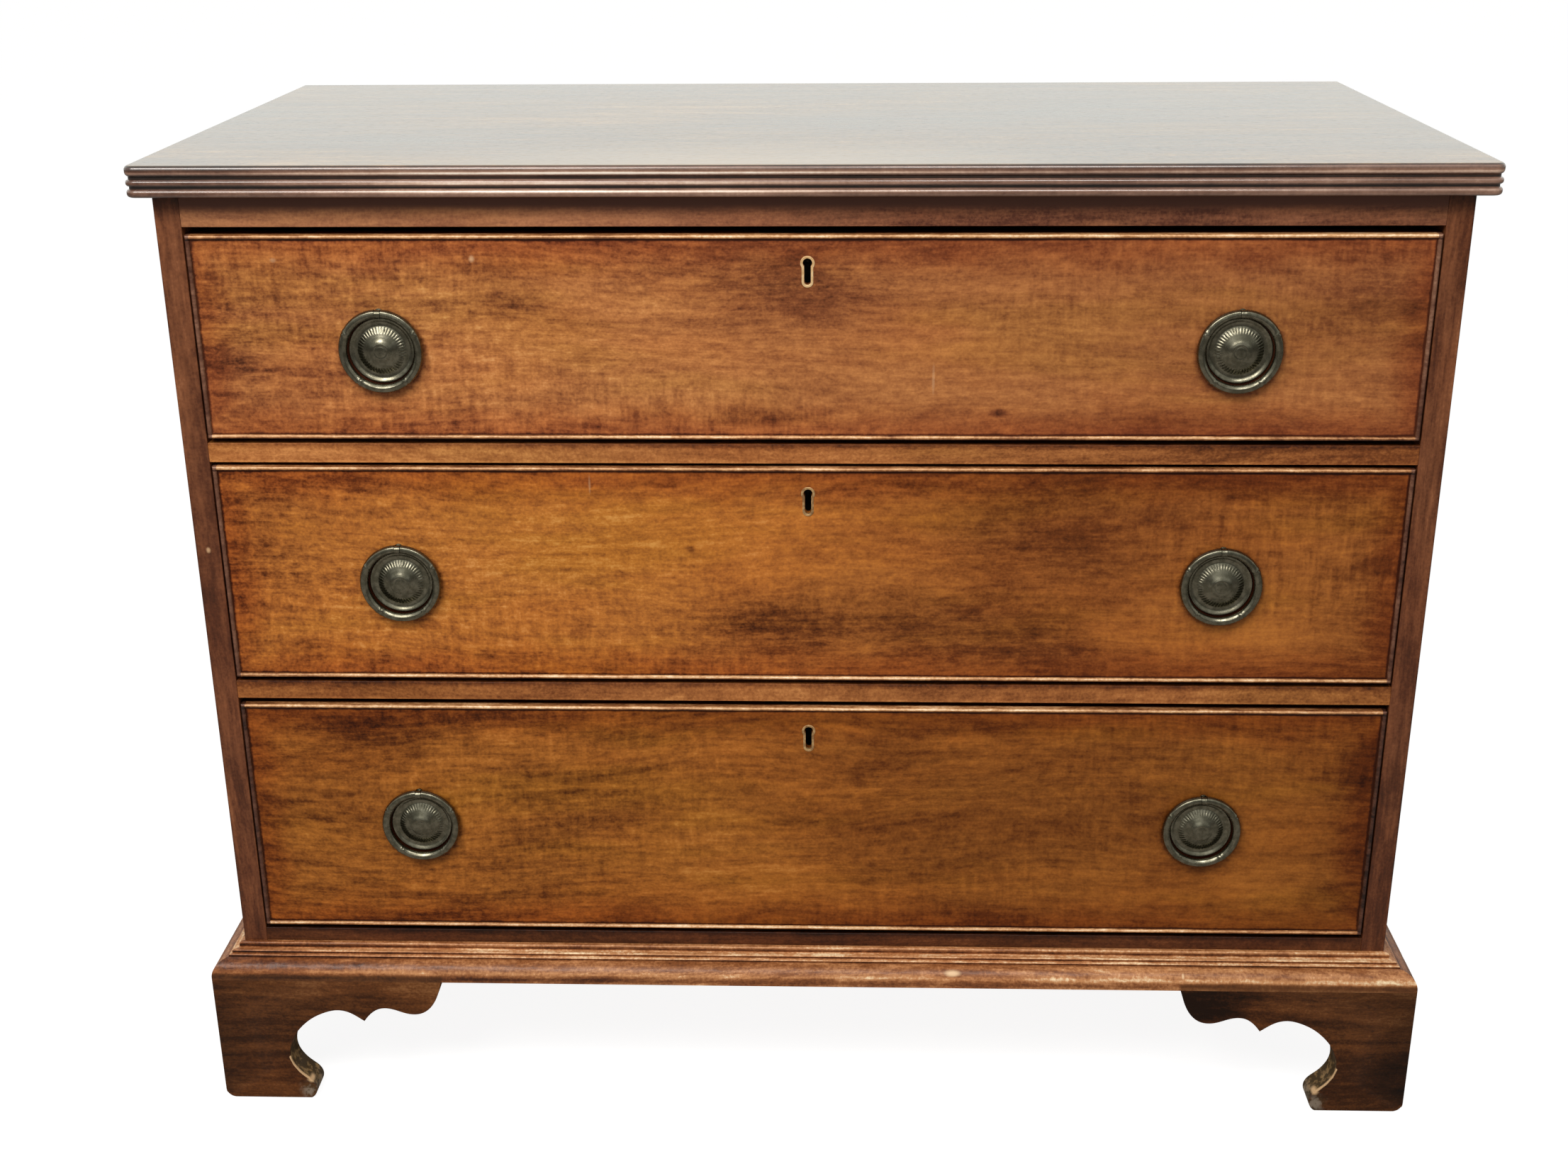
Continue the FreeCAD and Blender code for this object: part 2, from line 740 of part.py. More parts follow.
def handle_plate(x, z):
    """A stamped rosette: rim, sunk band, rounded band and a dome with a raised ring."""
    dome = plate_dome_height

    def at(share, height):
        return Vector(share * plate_diameter / 2, -height, 0)

    def on_dome(point):
        return at(point[0], point[1] * dome)

    crown = at(0, dome)
    inner_crown = at(0, dome - plate_thickness)
    cap_edge = on_dome(DOME_EDGE_SHARES)
    ring_middle, ring_end = [on_dome(point) for point in RAISED_RING_SHARES]
    band_middle, band_end = [on_dome(point) for point in ROUNDED_BAND_SHARES]
    sunk_inner = at(SUNK_INNER_SHARE, plate_thickness)
    sunk_outer = at(SUNK_OUTER_SHARE, plate_thickness)
    rim_top = at(1, plate_thickness)
    hollow_edge = at(HOLLOW_EDGE_SHARE, 0)
    section = face_of([
        line(inner_crown, crown),
        cap_arc(cap_edge, crown),
        arc(cap_edge, ring_middle, ring_end),
        arc(ring_end, band_middle, band_end),
        arc(band_end, on_dome(BAND_SHOULDER_SHARES), sunk_inner),
        line(sunk_inner, sunk_outer),
        arc(sunk_outer, at(RIM_CREST_SHARE, plate_rim_height), rim_top),
        line(rim_top, at(1, 0)),
        line(at(1, 0), hollow_edge),
        cap_arc(hollow_edge, inner_crown),
    ])
    rosette = section.revolve(Vector(0, 0, 0), Vector(0, 1, 0), 360)
    lug_face = Vector(0, -lug_thickness, ring_radius)
    lug = rod(lug_radius, lug_face, Vector(0, 1, 0), lug_thickness)
    stem_hole = rod(stem_radius + stem_clearance, lug_face, Vector(0, 1, 0), lug_thickness)
    return moved(joined([rosette, lug]).cut(stem_hole), x=x, z=z)


def handle_post(x, z):
    """The knuckle that the ring hangs on, its collar and the stem through the front."""
    hinge = Vector(0, -hinge_standoff, 0)
    across = Vector(1, 0, 0)
    inward = Vector(0, 1, 0)
    knuckle = rod(knuckle_radius, hinge - across * (knuckle_width / 2), across, knuckle_width)
    neck = rod(post_neck_radius, hinge, inward, hinge_standoff - lug_thickness)
    collar = rod(collar_radius, Vector(0, -lug_thickness, 0), -inward, collar_thickness)
    stem = rod(stem_radius, Vector(0, -lug_thickness, 0), inward,
               lug_thickness + front_thickness + stem_end)
    bore = rod(hinge_pin_radius + hinge_pin_clearance, hinge - across * knuckle_width, across,
               2 * knuckle_width)
    return moved(joined([knuckle, neck, collar, stem]).cut(bore), x=x, z=z + ring_radius)


def handle_nut(x, z):
    corners = []
    for index in range(6):
        angle = math.radians(60 * index)
        corners.append(Vector(nut_radius * math.cos(angle), front_thickness,
                              nut_radius * math.sin(angle)))
    nut = prism(corners, Vector(0, nut_thickness, 0))
    nut = nut.cut(rod(stem_radius, Vector(0, front_thickness, 0), Vector(0, 1, 0),
                      nut_thickness))
    return moved(nut, x=x, z=z + ring_radius)


def handle_ring(x, z):
    """The ring hanging straight down, with the pin that turns in the knuckle."""
    centre = Vector(0, -hinge_standoff, 0)
    torus = Part.makeTorus(ring_radius, ring_bar / 2, centre, Vector(0, 1, 0))
    half_gap = knuckle_width / 2 + knuckle_play
    gap = box(-half_gap, half_gap, -hinge_standoff - ring_bar, -hinge_standoff + ring_bar,
              0, ring_radius + ring_bar)
    reach = half_gap + ring_bar / 4
    pin = rod(hinge_pin_radius, Vector(-reach, -hinge_standoff, ring_radius),
              Vector(1, 0, 0), 2 * reach)
    return moved(joined([torus.cut(gap), pin]), x=x, z=z)


def make_drawer(bay):
    name = f"drawer_{bay.number}_"
    bottom = drawer_bottom(bay)
    sides = drawer_sides(bay, bottom)
    keep(name + "front", drawer_front(bay, bottom, sides))
    keep(name + "cock_beads", *cock_beads(bay))
    keep(name + "side_right", sides[0])
    keep(name + "side_left", sides[1])
    keep(name + "back", drawer_back(bay, bottom, sides))
    keep(name + "bottom", bottom)
    keep(name + "escutcheon", escutcheon(bay))
    keep(name + "lock_case", lock_case(bay))
    keep(name + "lock_bolt", lock_bolt(bay))

    places = ((-handle_x, bay.handle_z), (handle_x, bay.handle_z))
    keep(name + "handle_plates", *[handle_plate(*place) for place in places])
    fixings = [make(*place) for place in places for make in (handle_post, handle_nut)]
    keep(name + "handle_posts", *fixings)
    keep(name + "ring_left", handle_ring(*places[0]))
    keep(name + "ring_right", handle_ring(*places[1]))


# ---------------------------------------------------------------- build
def export():
    os.makedirs("parts", exist_ok=True)
    for name, shape in PIECES.items():
        moved(shape, y=-origin_y).exportStep(f"parts/{name}.step")


make_top_board()
make_carcase_frame()
make_sides()
make_back_boards()
make_drawer_stops()
make_base_moulding()
make_feet()
make_glue_blocks()
for drawer_bay in BAYS:
    make_drawer(drawer_bay)
export()
print(len(PIECES), "pieces written")
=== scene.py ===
"""Looks of a chest of three long drawers on bracket feet: polished mahogany, ring handles.

Metres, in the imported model's frame: the drawers face -Y and the floor is Z = 0.
"""

import json
import math

import bpy
from mathutils import Matrix, Vector


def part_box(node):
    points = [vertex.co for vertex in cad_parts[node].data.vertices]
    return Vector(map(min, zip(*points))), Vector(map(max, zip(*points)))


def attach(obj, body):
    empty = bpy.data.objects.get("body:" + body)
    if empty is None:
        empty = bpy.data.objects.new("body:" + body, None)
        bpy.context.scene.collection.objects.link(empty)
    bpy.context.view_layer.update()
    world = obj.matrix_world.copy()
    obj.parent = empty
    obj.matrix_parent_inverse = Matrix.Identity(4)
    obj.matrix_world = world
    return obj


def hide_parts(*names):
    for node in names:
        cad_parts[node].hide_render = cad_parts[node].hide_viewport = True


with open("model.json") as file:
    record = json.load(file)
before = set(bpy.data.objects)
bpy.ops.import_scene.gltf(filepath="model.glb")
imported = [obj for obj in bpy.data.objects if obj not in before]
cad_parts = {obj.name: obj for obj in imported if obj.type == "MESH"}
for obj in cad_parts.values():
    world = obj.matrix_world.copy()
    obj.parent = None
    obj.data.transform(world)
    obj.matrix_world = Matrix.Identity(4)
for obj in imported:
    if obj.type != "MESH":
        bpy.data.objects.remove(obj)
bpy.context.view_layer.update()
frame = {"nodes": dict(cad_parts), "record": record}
nodes = frame["nodes"]

MM = 0.001


# ---------------------------------------------------------------- colour
def srgb(red, green, blue):
    """A linear RGBA colour from 0-255 sRGB values."""
    def linear(value):
        share = value / 255
        return share / 12.92 if share <= 0.04045 else ((share + 0.055) / 1.055) ** 2.4
    return (linear(red), linear(green), linear(blue), 1.0)


def shades(*colours):
    return tuple(srgb(*colour) for colour in colours)


def even_stops(tones):
    """Stops of a colour ramp with equal steps between its tones."""
    return [(i / (len(tones) - 1), tone) for i, tone in enumerate(tones)]


# ---------------------------------------------------------------- material graphs
class Graph:
    """One material's nodes. An input is a socket, a number, a vector or a colour."""

    def __init__(self, name):
        self.material = bpy.data.materials.new(name)
        self.material.use_nodes = True
        self.tree = self.material.node_tree
        self.tree.nodes.clear()
        self.place = self.node("TexCoord").outputs["Object"]

    def feed(self, socket, value):
        if isinstance(value, bpy.types.NodeSocket):
            self.tree.links.new(value, socket)
        else:
            socket.default_value = value

    def node(self, kind, inputs=None, **settings):
        made = self.tree.nodes.new("ShaderNode" + kind)
        for key, value in settings.items():
            setattr(made, key, value)
        for key, value in (inputs or {}).items():
            self.feed(made.inputs[key], value)
        return made

    def math(self, operation, first, second=0.0):
        return self.node("Math", {0: first, 1: second}, operation=operation).outputs[0]

    def vector(self, operation, first, second):
        return self.node("VectorMath", {0: first, 1: second}, operation=operation).outputs[0]

    def noise(self, vector, scale, detail, rough=0.55):
        made = self.node("TexNoise", {"Vector": vector, "Scale": scale, "Detail": detail,
                                      "Roughness": rough})
        return made.outputs["Fac"]

    def figure(self, vector, layer):
        """Noise stretched along the grain, by a layer of FIGURE."""
        along, across, detail, rough = FIGURE[layer]
        stretched = self.vector("MULTIPLY", vector, (along, across, across))
        return self.noise(stretched, 1.0, detail, rough)

    def ramp(self, factor, stops):
        made = self.node("ValToRGB", {"Fac": factor})
        elements = made.color_ramp.elements
        while len(elements) > 1:
            elements.remove(elements[-1])
        elements[0].position, elements[0].color = stops[0]
        for position, colour in stops[1:]:
            elements.new(position).color = colour
        return made.outputs["Color"]

    def ease(self, value, start, end, low=0.0, high=1.0):
        made = self.node("MapRange", {"Value": value, "From Min": start, "From Max": end,
                                      "To Min": low, "To Max": high},
                         interpolation_type="SMOOTHSTEP")
        return made.outputs["Result"]

    def mix(self, factor, first, second, blend="MIX"):
        made = self.node("Mix", data_type="RGBA", blend_type=blend)
        for key, value in (("Factor_Float", factor), ("A_Color", first), ("B_Color", second)):
            socket = next(s for s in made.inputs if s.identifier == key)
            self.feed(socket, value)
        return next(s for s in made.outputs if s.identifier == "Result_Color")

    def centred(self, value, amount):
        """How far a 0-1 value is from its middle, times an amount."""
        return self.math("MULTIPLY", self.math("SUBTRACT", value, 0.5), amount)

    def folded(self, operation, values):
        result = values[0]
        for value in values[1:]:
            result = self.math(operation, result, value)
        return result

    def total(self, values):
        return self.folded("ADD", values)

    def product(self, first, second):
        return self.math("MULTIPLY", first, second)

    def near(self, value, level, half):
        """1 at a level, falling to 0 at a half width on both sides of it."""
        away = self.math("ABSOLUTE", self.math("SUBTRACT", value, level))
        return self.ease(away, 0.0, half, 1.0, 0.0)

    def shade(self, inputs):
        """Ends the graph with a Principled shader."""
        shader = self.node("BsdfPrincipled", inputs)
        output = self.node("OutputMaterial")
        self.tree.links.new(shader.outputs[0], output.inputs["Surface"])
        return self.material


# Order of an axis triple that brings the grain to the first place.
GRAIN_ORDER = {"X": (0, 1, 2), "Y": (1, 0, 2), "Z": (2, 1, 0)}
FIGURE = {  # noise scale per metre along and across the grain, detail and roughness
    "bend": (1.7, 5.0, 2.0, 0.55), "clouds": (2.6, 7.0, 2.0, 0.55),
    "bands": (9.0, 62.0, 3.0, 0.55), "streaks": (24.0, 250.0, 3.0, 0.6),
    "mottles": (95.0, 170.0, 2.0, 0.6), "speckles": (420.0, 480.0, 2.0, 0.6),
    "ticks": (130.0, 800.0, 1.0, 0.55), "waves": (210.0, 45.0, 2.0, 0.55),
    "wave_areas": (3.0, 6.0, 1.0, 0.55), "warmth": (4.0, 12.0, 4.0, 0.65),
    "coolness": (3.0, 17.0, 3.0, 0.6), "ragged": (26.0, 44.0, 4.0, 0.65),
    "scratches": (190.0, 150.0, 2.5, 0.6),
}
BEND_Y, BEND_Z = 0.05, 0.07              # metres that the grain wanders
CALM_FROM, CALM_TO = -0.35, 0.30         # metres along X over which the figure calms down
GRAIN_DEPTH = 0.0004                     # metres of bump


def wood(name, tones, grain="X", seed=0.0, cloud=0.25, band=0.25, streak=0.25, tick=0.08,
         mottle=0.3, speckle=0.3, ripple=0.0, calm=0.0, shift=0.0, red=0.3, olive=0.0, stains=(),
         marks=(), borders=(), halos=(), lines=(), patch=None, slope=0.0, roughness=0.42,
         specular=0.12, coat=0.0, coat_roughness=0.2, relief=0.12):
    """Polished wood with its figure, streaks, pores, stains, dirt, and painted highlights and
    shade.

    tones are colours from dark to light. stains are (x, z, half width, half height, depth,
    raggedness), marks (x, z, half width, half height, colour, strength), borders
    (x0, x1, z0, z1, width, depth), halos (x, z, radius, fade, depth) and lines (axis, level,
    half width, change of tone). A depth darkens, and below zero it brightens. slope is the
    change of tone per metre towards +X, calm how much fainter the fine figure is at the right
    end than at the left, and patch a function of (graph, parts, ragged, tone, colour) that
    returns the colour that it changes.
    """
    graph = Graph(name)
    parts = graph.node("SeparateXYZ", {0: graph.place})
    if grain == "XY":       # level along two boards that meet at a right angle
        axes = [graph.math("ADD", parts.outputs[0], parts.outputs[1]), 0.0, parts.outputs[2]]
    else:
        axes = [parts.outputs[i] for i in GRAIN_ORDER[grain]]
    place = graph.node("CombineXYZ", {0: axes[0], 1: axes[1], 2: axes[2]}).outputs[0]
    place = graph.vector("ADD", place, (seed, seed * 0.37, seed * 1.71))
    bend = graph.figure(place, "bend")
    drift = graph.node("CombineXYZ", {0: 0.0, 1: graph.centred(bend, BEND_Y),
                                      2: graph.centred(bend, BEND_Z)}).outputs[0]
    place = graph.vector("ADD", place, drift)

    clouds, bands, streaks, mottles, speckles, ticks = (
        graph.figure(place, layer)
        for layer in ("clouds", "bands", "streaks", "mottles", "speckles", "ticks"))
    pores = graph.ease(ticks, 0.30, 0.44, 1.0, 0.0)
    fine = graph.total([
        graph.centred(bands, band * 2.4), graph.centred(streaks, streak * 2.2),
        graph.centred(mottles, mottle * 1.4), graph.centred(speckles, speckle * 1.6),
        graph.product(pores, -tick * 0.5),
    ])
    front_x, front_z = parts.outputs[0], parts.outputs[2]
    if calm:
        fine = graph.product(fine, graph.ease(front_x, CALM_FROM, CALM_TO, 1.0, 1.0 - calm))
    values = [0.5 + shift, graph.centred(clouds, cloud * 2.6), fine]
    if ripple:
        waves = graph.centred(graph.figure(place, "waves"), ripple * 1.8)
        spread = graph.ease(graph.figure(place, "wave_areas"), 0.45, 0.6)
        values.append(graph.product(waves, spread))
    if slope:
        values.append(graph.product(front_x, slope))
    ragged = graph.figure(graph.place, "ragged")
    for axis, level, half, change in lines:
        line = graph.near(parts.outputs["XYZ".index(axis)], level, half)
        values.append(graph.product(line, change))
    tone = graph.total(values)
    for x, z, half_x, half_z, depth, raggedness in stains:
        reach = spot(graph, front_x, front_z, x, z, half_x, half_z, ragged, raggedness)
        tone = graph.math("SUBTRACT", tone, graph.product(reach, depth))
    for x, z, radius, fade, depth in halos:
        reach = graph.ease(distance_to(graph, front_x, front_z, x, z), radius, radius + fade,
                           1.0, 0.0)
        tone = graph.math("SUBTRACT", tone, graph.product(reach, depth))
    for border in borders:
        tone = graph.math("SUBTRACT", tone, dirt(graph, front_x, front_z, ragged, border))
    colour = graph.ramp(tone, even_stops(tones))
    if borders:
        reach = dirt(graph, front_x, front_z, ragged, borders[0][:5] + (EDGE_RED_SHARE,))
        colour = graph.mix(reach, colour, EDGE_RED, "MULTIPLY")
    if red:
        warm = graph.ease(graph.figure(place, "warmth"), 0.40, 0.66)
        colour = graph.mix(graph.product(warm, red), colour, RED_WASH, "MULTIPLY")
    if olive:
        cool = graph.ease(graph.figure(place, "coolness"), 0.46, 0.66)
        colour = graph.mix(graph.product(cool, olive), colour, OLIVE_WASH, "MULTIPLY")
    for x, z, half_x, half_z, tint, strength in marks:
        reach = spot(graph, front_x, front_z, x, z, half_x, half_z, ragged, MARK_RAGGEDNESS)
        colour = graph.mix(graph.product(reach, strength), colour, tint)
    if patch:
        colour = patch(graph, parts, ragged, tone, colour)

    gloss = graph.total([roughness, graph.centred(clouds, 0.12), graph.centred(streaks, 0.10),
                         graph.product(pores, 0.12)])
    height = graph.total([graph.product(streaks, 0.5), graph.product(pores, -1.0),
                          graph.product(bands, 0.6)])
    normal = graph.node("Bump", {"Height": height, "Strength": relief, "Distance": GRAIN_DEPTH})
    return graph.shade({
        "Base Color": colour, "Roughness": gloss, "Normal": normal.outputs[0],
        "Specular IOR Level": specular, "Coat Weight": coat, "Coat Roughness": coat_roughness,
    })


def distance_to(graph, front_x, front_z, x, z, half_x=1.0, half_z=1.0):
    """Distance on the front from a point, in units of an ellipse's half axes."""
    across = graph.math("DIVIDE", graph.math("SUBTRACT", front_x, x), half_x)
    up = graph.math("DIVIDE", graph.math("SUBTRACT", front_z, z), half_z)
    return length_of(graph, across, up)


def length_of(graph, first, second):
    return graph.math("SQRT", graph.math("ADD", graph.product(first, first),
                                         graph.product(second, second)))


SPOT_CORE, SPOT_END = 0.2, 1.25          # where a spot starts to fade and where it ends


def spot(graph, front_x, front_z, x, z, half_x, half_z, ragged, raggedness):
    """1 inside an ellipse on the front and 0 outside, with a ragged soft edge."""
    distance = distance_to(graph, front_x, front_z, x, z, half_x, half_z)
    return graph.ease(graph.math("ADD", distance, graph.centred(ragged, raggedness)),
                      SPOT_CORE, SPOT_END, 1.0, 0.0)


def stroke(graph, front_x, front_z, points, half, ragged):
    """1 along a bent line on the front, with a ragged edge."""
    distances = []
    for (x0, z0), (x1, z1) in zip(points, points[1:]):
        length = math.hypot(x1 - x0, z1 - z0)
        along_x, along_z = (x1 - x0) / length, (z1 - z0) / length
        from_x = graph.math("SUBTRACT", front_x, x0)
        from_z = graph.math("SUBTRACT", front_z, z0)
        travel = graph.math("ADD", graph.product(from_x, along_x),
                            graph.product(from_z, along_z))
        travel = graph.math("MINIMUM", graph.math("MAXIMUM", travel, 0.0), length)
        side_x = graph.math("SUBTRACT", from_x, graph.product(travel, along_x))
        side_z = graph.math("SUBTRACT", from_z, graph.product(travel, along_z))
        distances.append(length_of(graph, side_x, side_z))
    nearest = graph.folded("MINIMUM", distances)
    nearest = graph.math("ADD", nearest, graph.centred(ragged, half * 1.5))
    return graph.ease(nearest, half * 0.5, half * 1.2, 1.0, 0.0)


def dirt(graph, front_x, front_z, ragged, border):
    """Darkness along the four edges of a panel, used for dirt and for painted shade."""
    x0, x1, z0, z1, width, depth = border
    gaps = [
        graph.math("SUBTRACT", front_x, x0), graph.math("SUBTRACT", x1, front_x),
        graph.math("SUBTRACT", front_z, z0), graph.math("SUBTRACT", z1, front_z),
    ]
    nearest = graph.folded("MINIMUM", gaps)
    nearest = graph.math("ADD", nearest, graph.centred(ragged, width * 0.9))
    return graph.product(graph.ease(nearest, 0.0, width, 1.0, 0.0), depth)


PATCH_SCALE, PIT_SCALE = 220.0, 1500.0   # of the noise, per metre
PIT_DEPTH = 0.0002                       # metres of bump


def metal(name, tint, deep, roughness=0.35, metallic=1.0, relief=0.25):
    """Aged cast metal: darker in patches, with fine pitting."""
    graph = Graph(name)
    patches = graph.noise(graph.place, PATCH_SCALE, 4.0, 0.6)
    pits = graph.noise(graph.place, PIT_SCALE, 2.0)
    blend = graph.ease(patches, 0.36, 0.66)
    colour = graph.mix(blend, deep, tint)
    gloss = graph.total([roughness, graph.centred(patches, -0.22), graph.centred(pits, 0.2)])
    height = graph.total([graph.product(patches, 0.6), pits])
    normal = graph.node("Bump", {"Height": height, "Strength": relief, "Distance": PIT_DEPTH})
    return graph.shade({
        "Base Color": colour, "Roughness": gloss, "Metallic": metallic,
        "Normal": normal.outputs[0],
    })


# ---------------------------------------------------------------- materials
RED_WASH = (1.0, 0.80, 0.68, 1.0)
OLIVE_WASH = (0.88, 1.0, 0.66, 1.0)
EDGE_RED = (0.92, 0.66, 0.56, 1.0)
EDGE_RED_SHARE = 0.7                     # of the wash at a panel's very edge
MARK_RAGGEDNESS = 0.9
UPPER_FRONT_TONES = shades((72, 36, 20), (124, 70, 40), (165, 103, 58), (196, 130, 74),
                           (220, 162, 104))
MIDDLE_FRONT_TONES = shades((58, 25, 9), (112, 60, 25), (158, 94, 42), (192, 120, 52),
                            (216, 150, 82))
LOWER_FRONT_TONES = shades((52, 22, 6), (99, 52, 17), (140, 82, 31), (174, 106, 42), (200, 134, 66))
RAIL_TONES = shades((62, 28, 11), (118, 65, 30), (166, 103, 54), (206, 140, 80))
LOW_RAIL_TONES = shades((34, 14, 6), (68, 34, 16), (98, 54, 28), (132, 80, 46))
FRIEZE_TONES = shades((30, 18, 15), (88, 50, 36), (144, 92, 64), (184, 124, 84))
SIDE_TONES = shades((42, 20, 10), (86, 46, 26), (126, 76, 47), (166, 110, 74))
TOP_TONES = shades((34, 20, 8), (82, 56, 28), (120, 88, 48), (176, 136, 84))
BEAD_TONES = shades((24, 10, 4), (92, 50, 26), (158, 106, 64), (216, 168, 118), (255, 232, 196))
UPRIGHT_BEAD_TONES = shades((30, 14, 8), (84, 50, 36), (122, 84, 64), (160, 122, 98))
MOULD_TONES = shades((28, 12, 5), (88, 46, 23), (142, 88, 50), (200, 142, 94), (255, 232, 190))
REED_TONES = shades((26, 12, 5), (84, 54, 40), (140, 106, 88), (204, 172, 150), (255, 243, 228))
FOOT_TONES = shades((28, 12, 3), (64, 34, 14), (104, 61, 29), (146, 98, 58))
OAK_TONES = shades((120, 84, 50), (162, 122, 80), (192, 154, 108), (210, 178, 134))
PINE_TONES = shades((128, 80, 44), (172, 118, 72), (198, 148, 98), (216, 172, 122))
# Colour of the painted sheen on the top's face.
TOP_PAINTED_SHEEN = srgb(186, 160, 128)
# Colour of the painted shadow on the frieze under the top board.
FRIEZE_SHADE = srgb(92, 58, 46)
BARE_WOOD_AND_HIGHLIGHT = srgb(236, 196, 148)
PALE_CHIP = srgb(240, 204, 160)
ROUGH_WOOD = srgb(150, 138, 122)
TOE_GREY = srgb(72, 58, 36)
TOE_SCRATCH = srgb(158, 128, 86)

FRONT_BOXES = {n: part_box(f"drawer_{n}_front") for n in (1, 2, 3)}
RING_BOXES = {(n, side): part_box(f"drawer_{n}_ring_{side}")
              for n in (1, 2, 3) for side in ("left", "right")}
FOOT_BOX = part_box("foot_front_left")
MOULDING_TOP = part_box("base_moulding_front")[1].z
TOP_UNDERSIDE, TOP_FACE = (corner.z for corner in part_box("top_board"))
RAIL_BOXES = {name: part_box(name)
              for name in ("upper_drawer_rail", "lower_drawer_rail", "bottom_rail")}
BEAD = 3.5 * MM                          # thickness of a cock bead
RING_RADIUS = 29.85 * MM                 # to the middle of the bar
RING_BAR = 6.3 * MM                      # thickness of the bar


def handle_centre(number, side):
    """The middle of a handle's hanging ring."""
    low, high = RING_BOXES[number, side]
    return Vector(((low.x + high.x) / 2, (low.y + high.y) / 2, low.z + RING_RADIUS + RING_BAR / 2))


def on_front(number, places):
    """Stains or marks given by their height above a drawer front's lower edge."""
    level = FRONT_BOXES[number][0].z
    return tuple((place[0], place[1] + level) + tuple(place[2:]) for place in places)


def panel_dirt_and_shade(number, width, depth):
    """Dirt towards a panel's edges, and a dark seam where it meets its beads: dirt in the joint and
    painted shade beside the beads.
    """
    low, high = FRONT_BOXES[number]
    panel = (low.x + BEAD, high.x - BEAD, low.z + BEAD, high.z - BEAD)
    return (panel + (width, depth), panel + (2.4 * MM, 0.50))


def handle_shadows(number):
    """Painted shadow of each plate and ring on the wood, offset downwards and to the right, and
    darker painted shade in the gap behind the ring.
    """
    halos = []
    for side in ("left", "right"):
        centre = handle_centre(number, side)
        halos.append((centre.x + 0.6 * MM, centre.z - 2.4 * MM, 29.5 * MM, 7.0 * MM, 0.42))
        halos.append((centre.x, centre.z, 28.6 * MM, 1.4 * MM, 0.6))
    return tuple(halos)


def bead_highlights_and_shade():
    """Painted highlights along the crests of the level cock beads, and painted shade at their
    roots, where dirt gathers too.
    """
    lines = []
    for low, high in FRONT_BOXES.values():
        for root in (high.z - BEAD, low.z):
            lines += [("Z", root, 1.2 * MM, -0.5), ("Z", root + 2.5 * MM, 1.2 * MM, 0.30)]
    return tuple(lines)


def upright_beads(graph, parts, ragged, tone, colour):
    """The upright beads take a duller copy of the bead's colours as painted shade, as they don't
    face the light like the level ones; they have painted shade along their outer edge, and the
    lowest pair is dark.
    """
    edge = FRONT_BOXES[1][1].x
    across = graph.math("ABSOLUTE", parts.outputs[0])
    upright = graph.ease(across, edge - BEAD - 0.5 * MM, edge - BEAD + 0.2 * MM)
    root = graph.ease(graph.math("SUBTRACT", edge, across), 0.0, 1.5 * MM, -0.25, 0.0)
    low = graph.ease(parts.outputs[2], FRONT_BOXES[3][1].z, FRONT_BOXES[2][0].z, -0.20, 0.0)
    duller = graph.ramp(graph.total([tone, root, low]), even_stops(UPRIGHT_BEAD_TONES))
    return graph.mix(upright, colour, duller)


def rail_lines(name, arris=0.12):
    """A rail has a painted shadow below a drawer and a painted highlight along its lower arris."""
    low, high = RAIL_BOXES[name]
    return (("Z", high.z, 6.0 * MM, -0.35), ("Z", low.z + 1.0 * MM, 1.6 * MM, arris))


FRIEZE_MIDDLE = TOP_UNDERSIDE - 18 * MM


def shade_under_top(graph, parts, ragged, tone, colour):
    """Painted shadow along the frieze below the top board's overhang."""
    level = graph.math("ADD", parts.outputs[2], graph.centred(ragged, 0.003))
    under = graph.ease(level, TOP_UNDERSIDE - 15.0 * MM, TOP_UNDERSIDE - 7.0 * MM)
    return graph.mix(under, colour, FRIEZE_SHADE)


def level_lines(base, levels):
    """Lines at heights in millimetres from a level."""
    return tuple(("Z", base + level * MM, half * MM, change) for level, half, change in levels)


def foot_band(graph, parts, ragged, tone, colour):
    """Over the feet, the lower part of the moulding is as dark as they are."""
    across = graph.math("ABSOLUTE", parts.outputs[0])
    foot_end = -FOOT_BOX[1].x
    above_foot = graph.ease(across, foot_end - 3 * MM, foot_end)
    low = graph.ease(graph.math("ADD", parts.outputs[2], graph.centred(ragged, 0.004)),
                     MOULDING_TOP - 21.5 * MM, MOULDING_TOP - 18.5 * MM, 1.0, 0.0)
    dark = graph.ramp(graph.math("ADD", tone, 0.12), even_stops(FOOT_TONES))
    return graph.mix(graph.product(above_foot, low), colour, dark)


# The toe's places are in millimetres, inwards from the foot's outer side and up from the floor.
TOE_TIP = (77, 8)
TOE_EDGE = ((62.0, 43), (64.6, 35), (68.8, 28.4), (74.3, 22.9), (79.0, 18.7))
TOE_WEAR = (78.5, 19)
TOE_STROKE = 1.3 * MM
HOLLOW_INWARD, HOLLOW_UP, HOLLOW_BEHIND = (40, 52), (50, 58), (24, 26)  # where it fades out


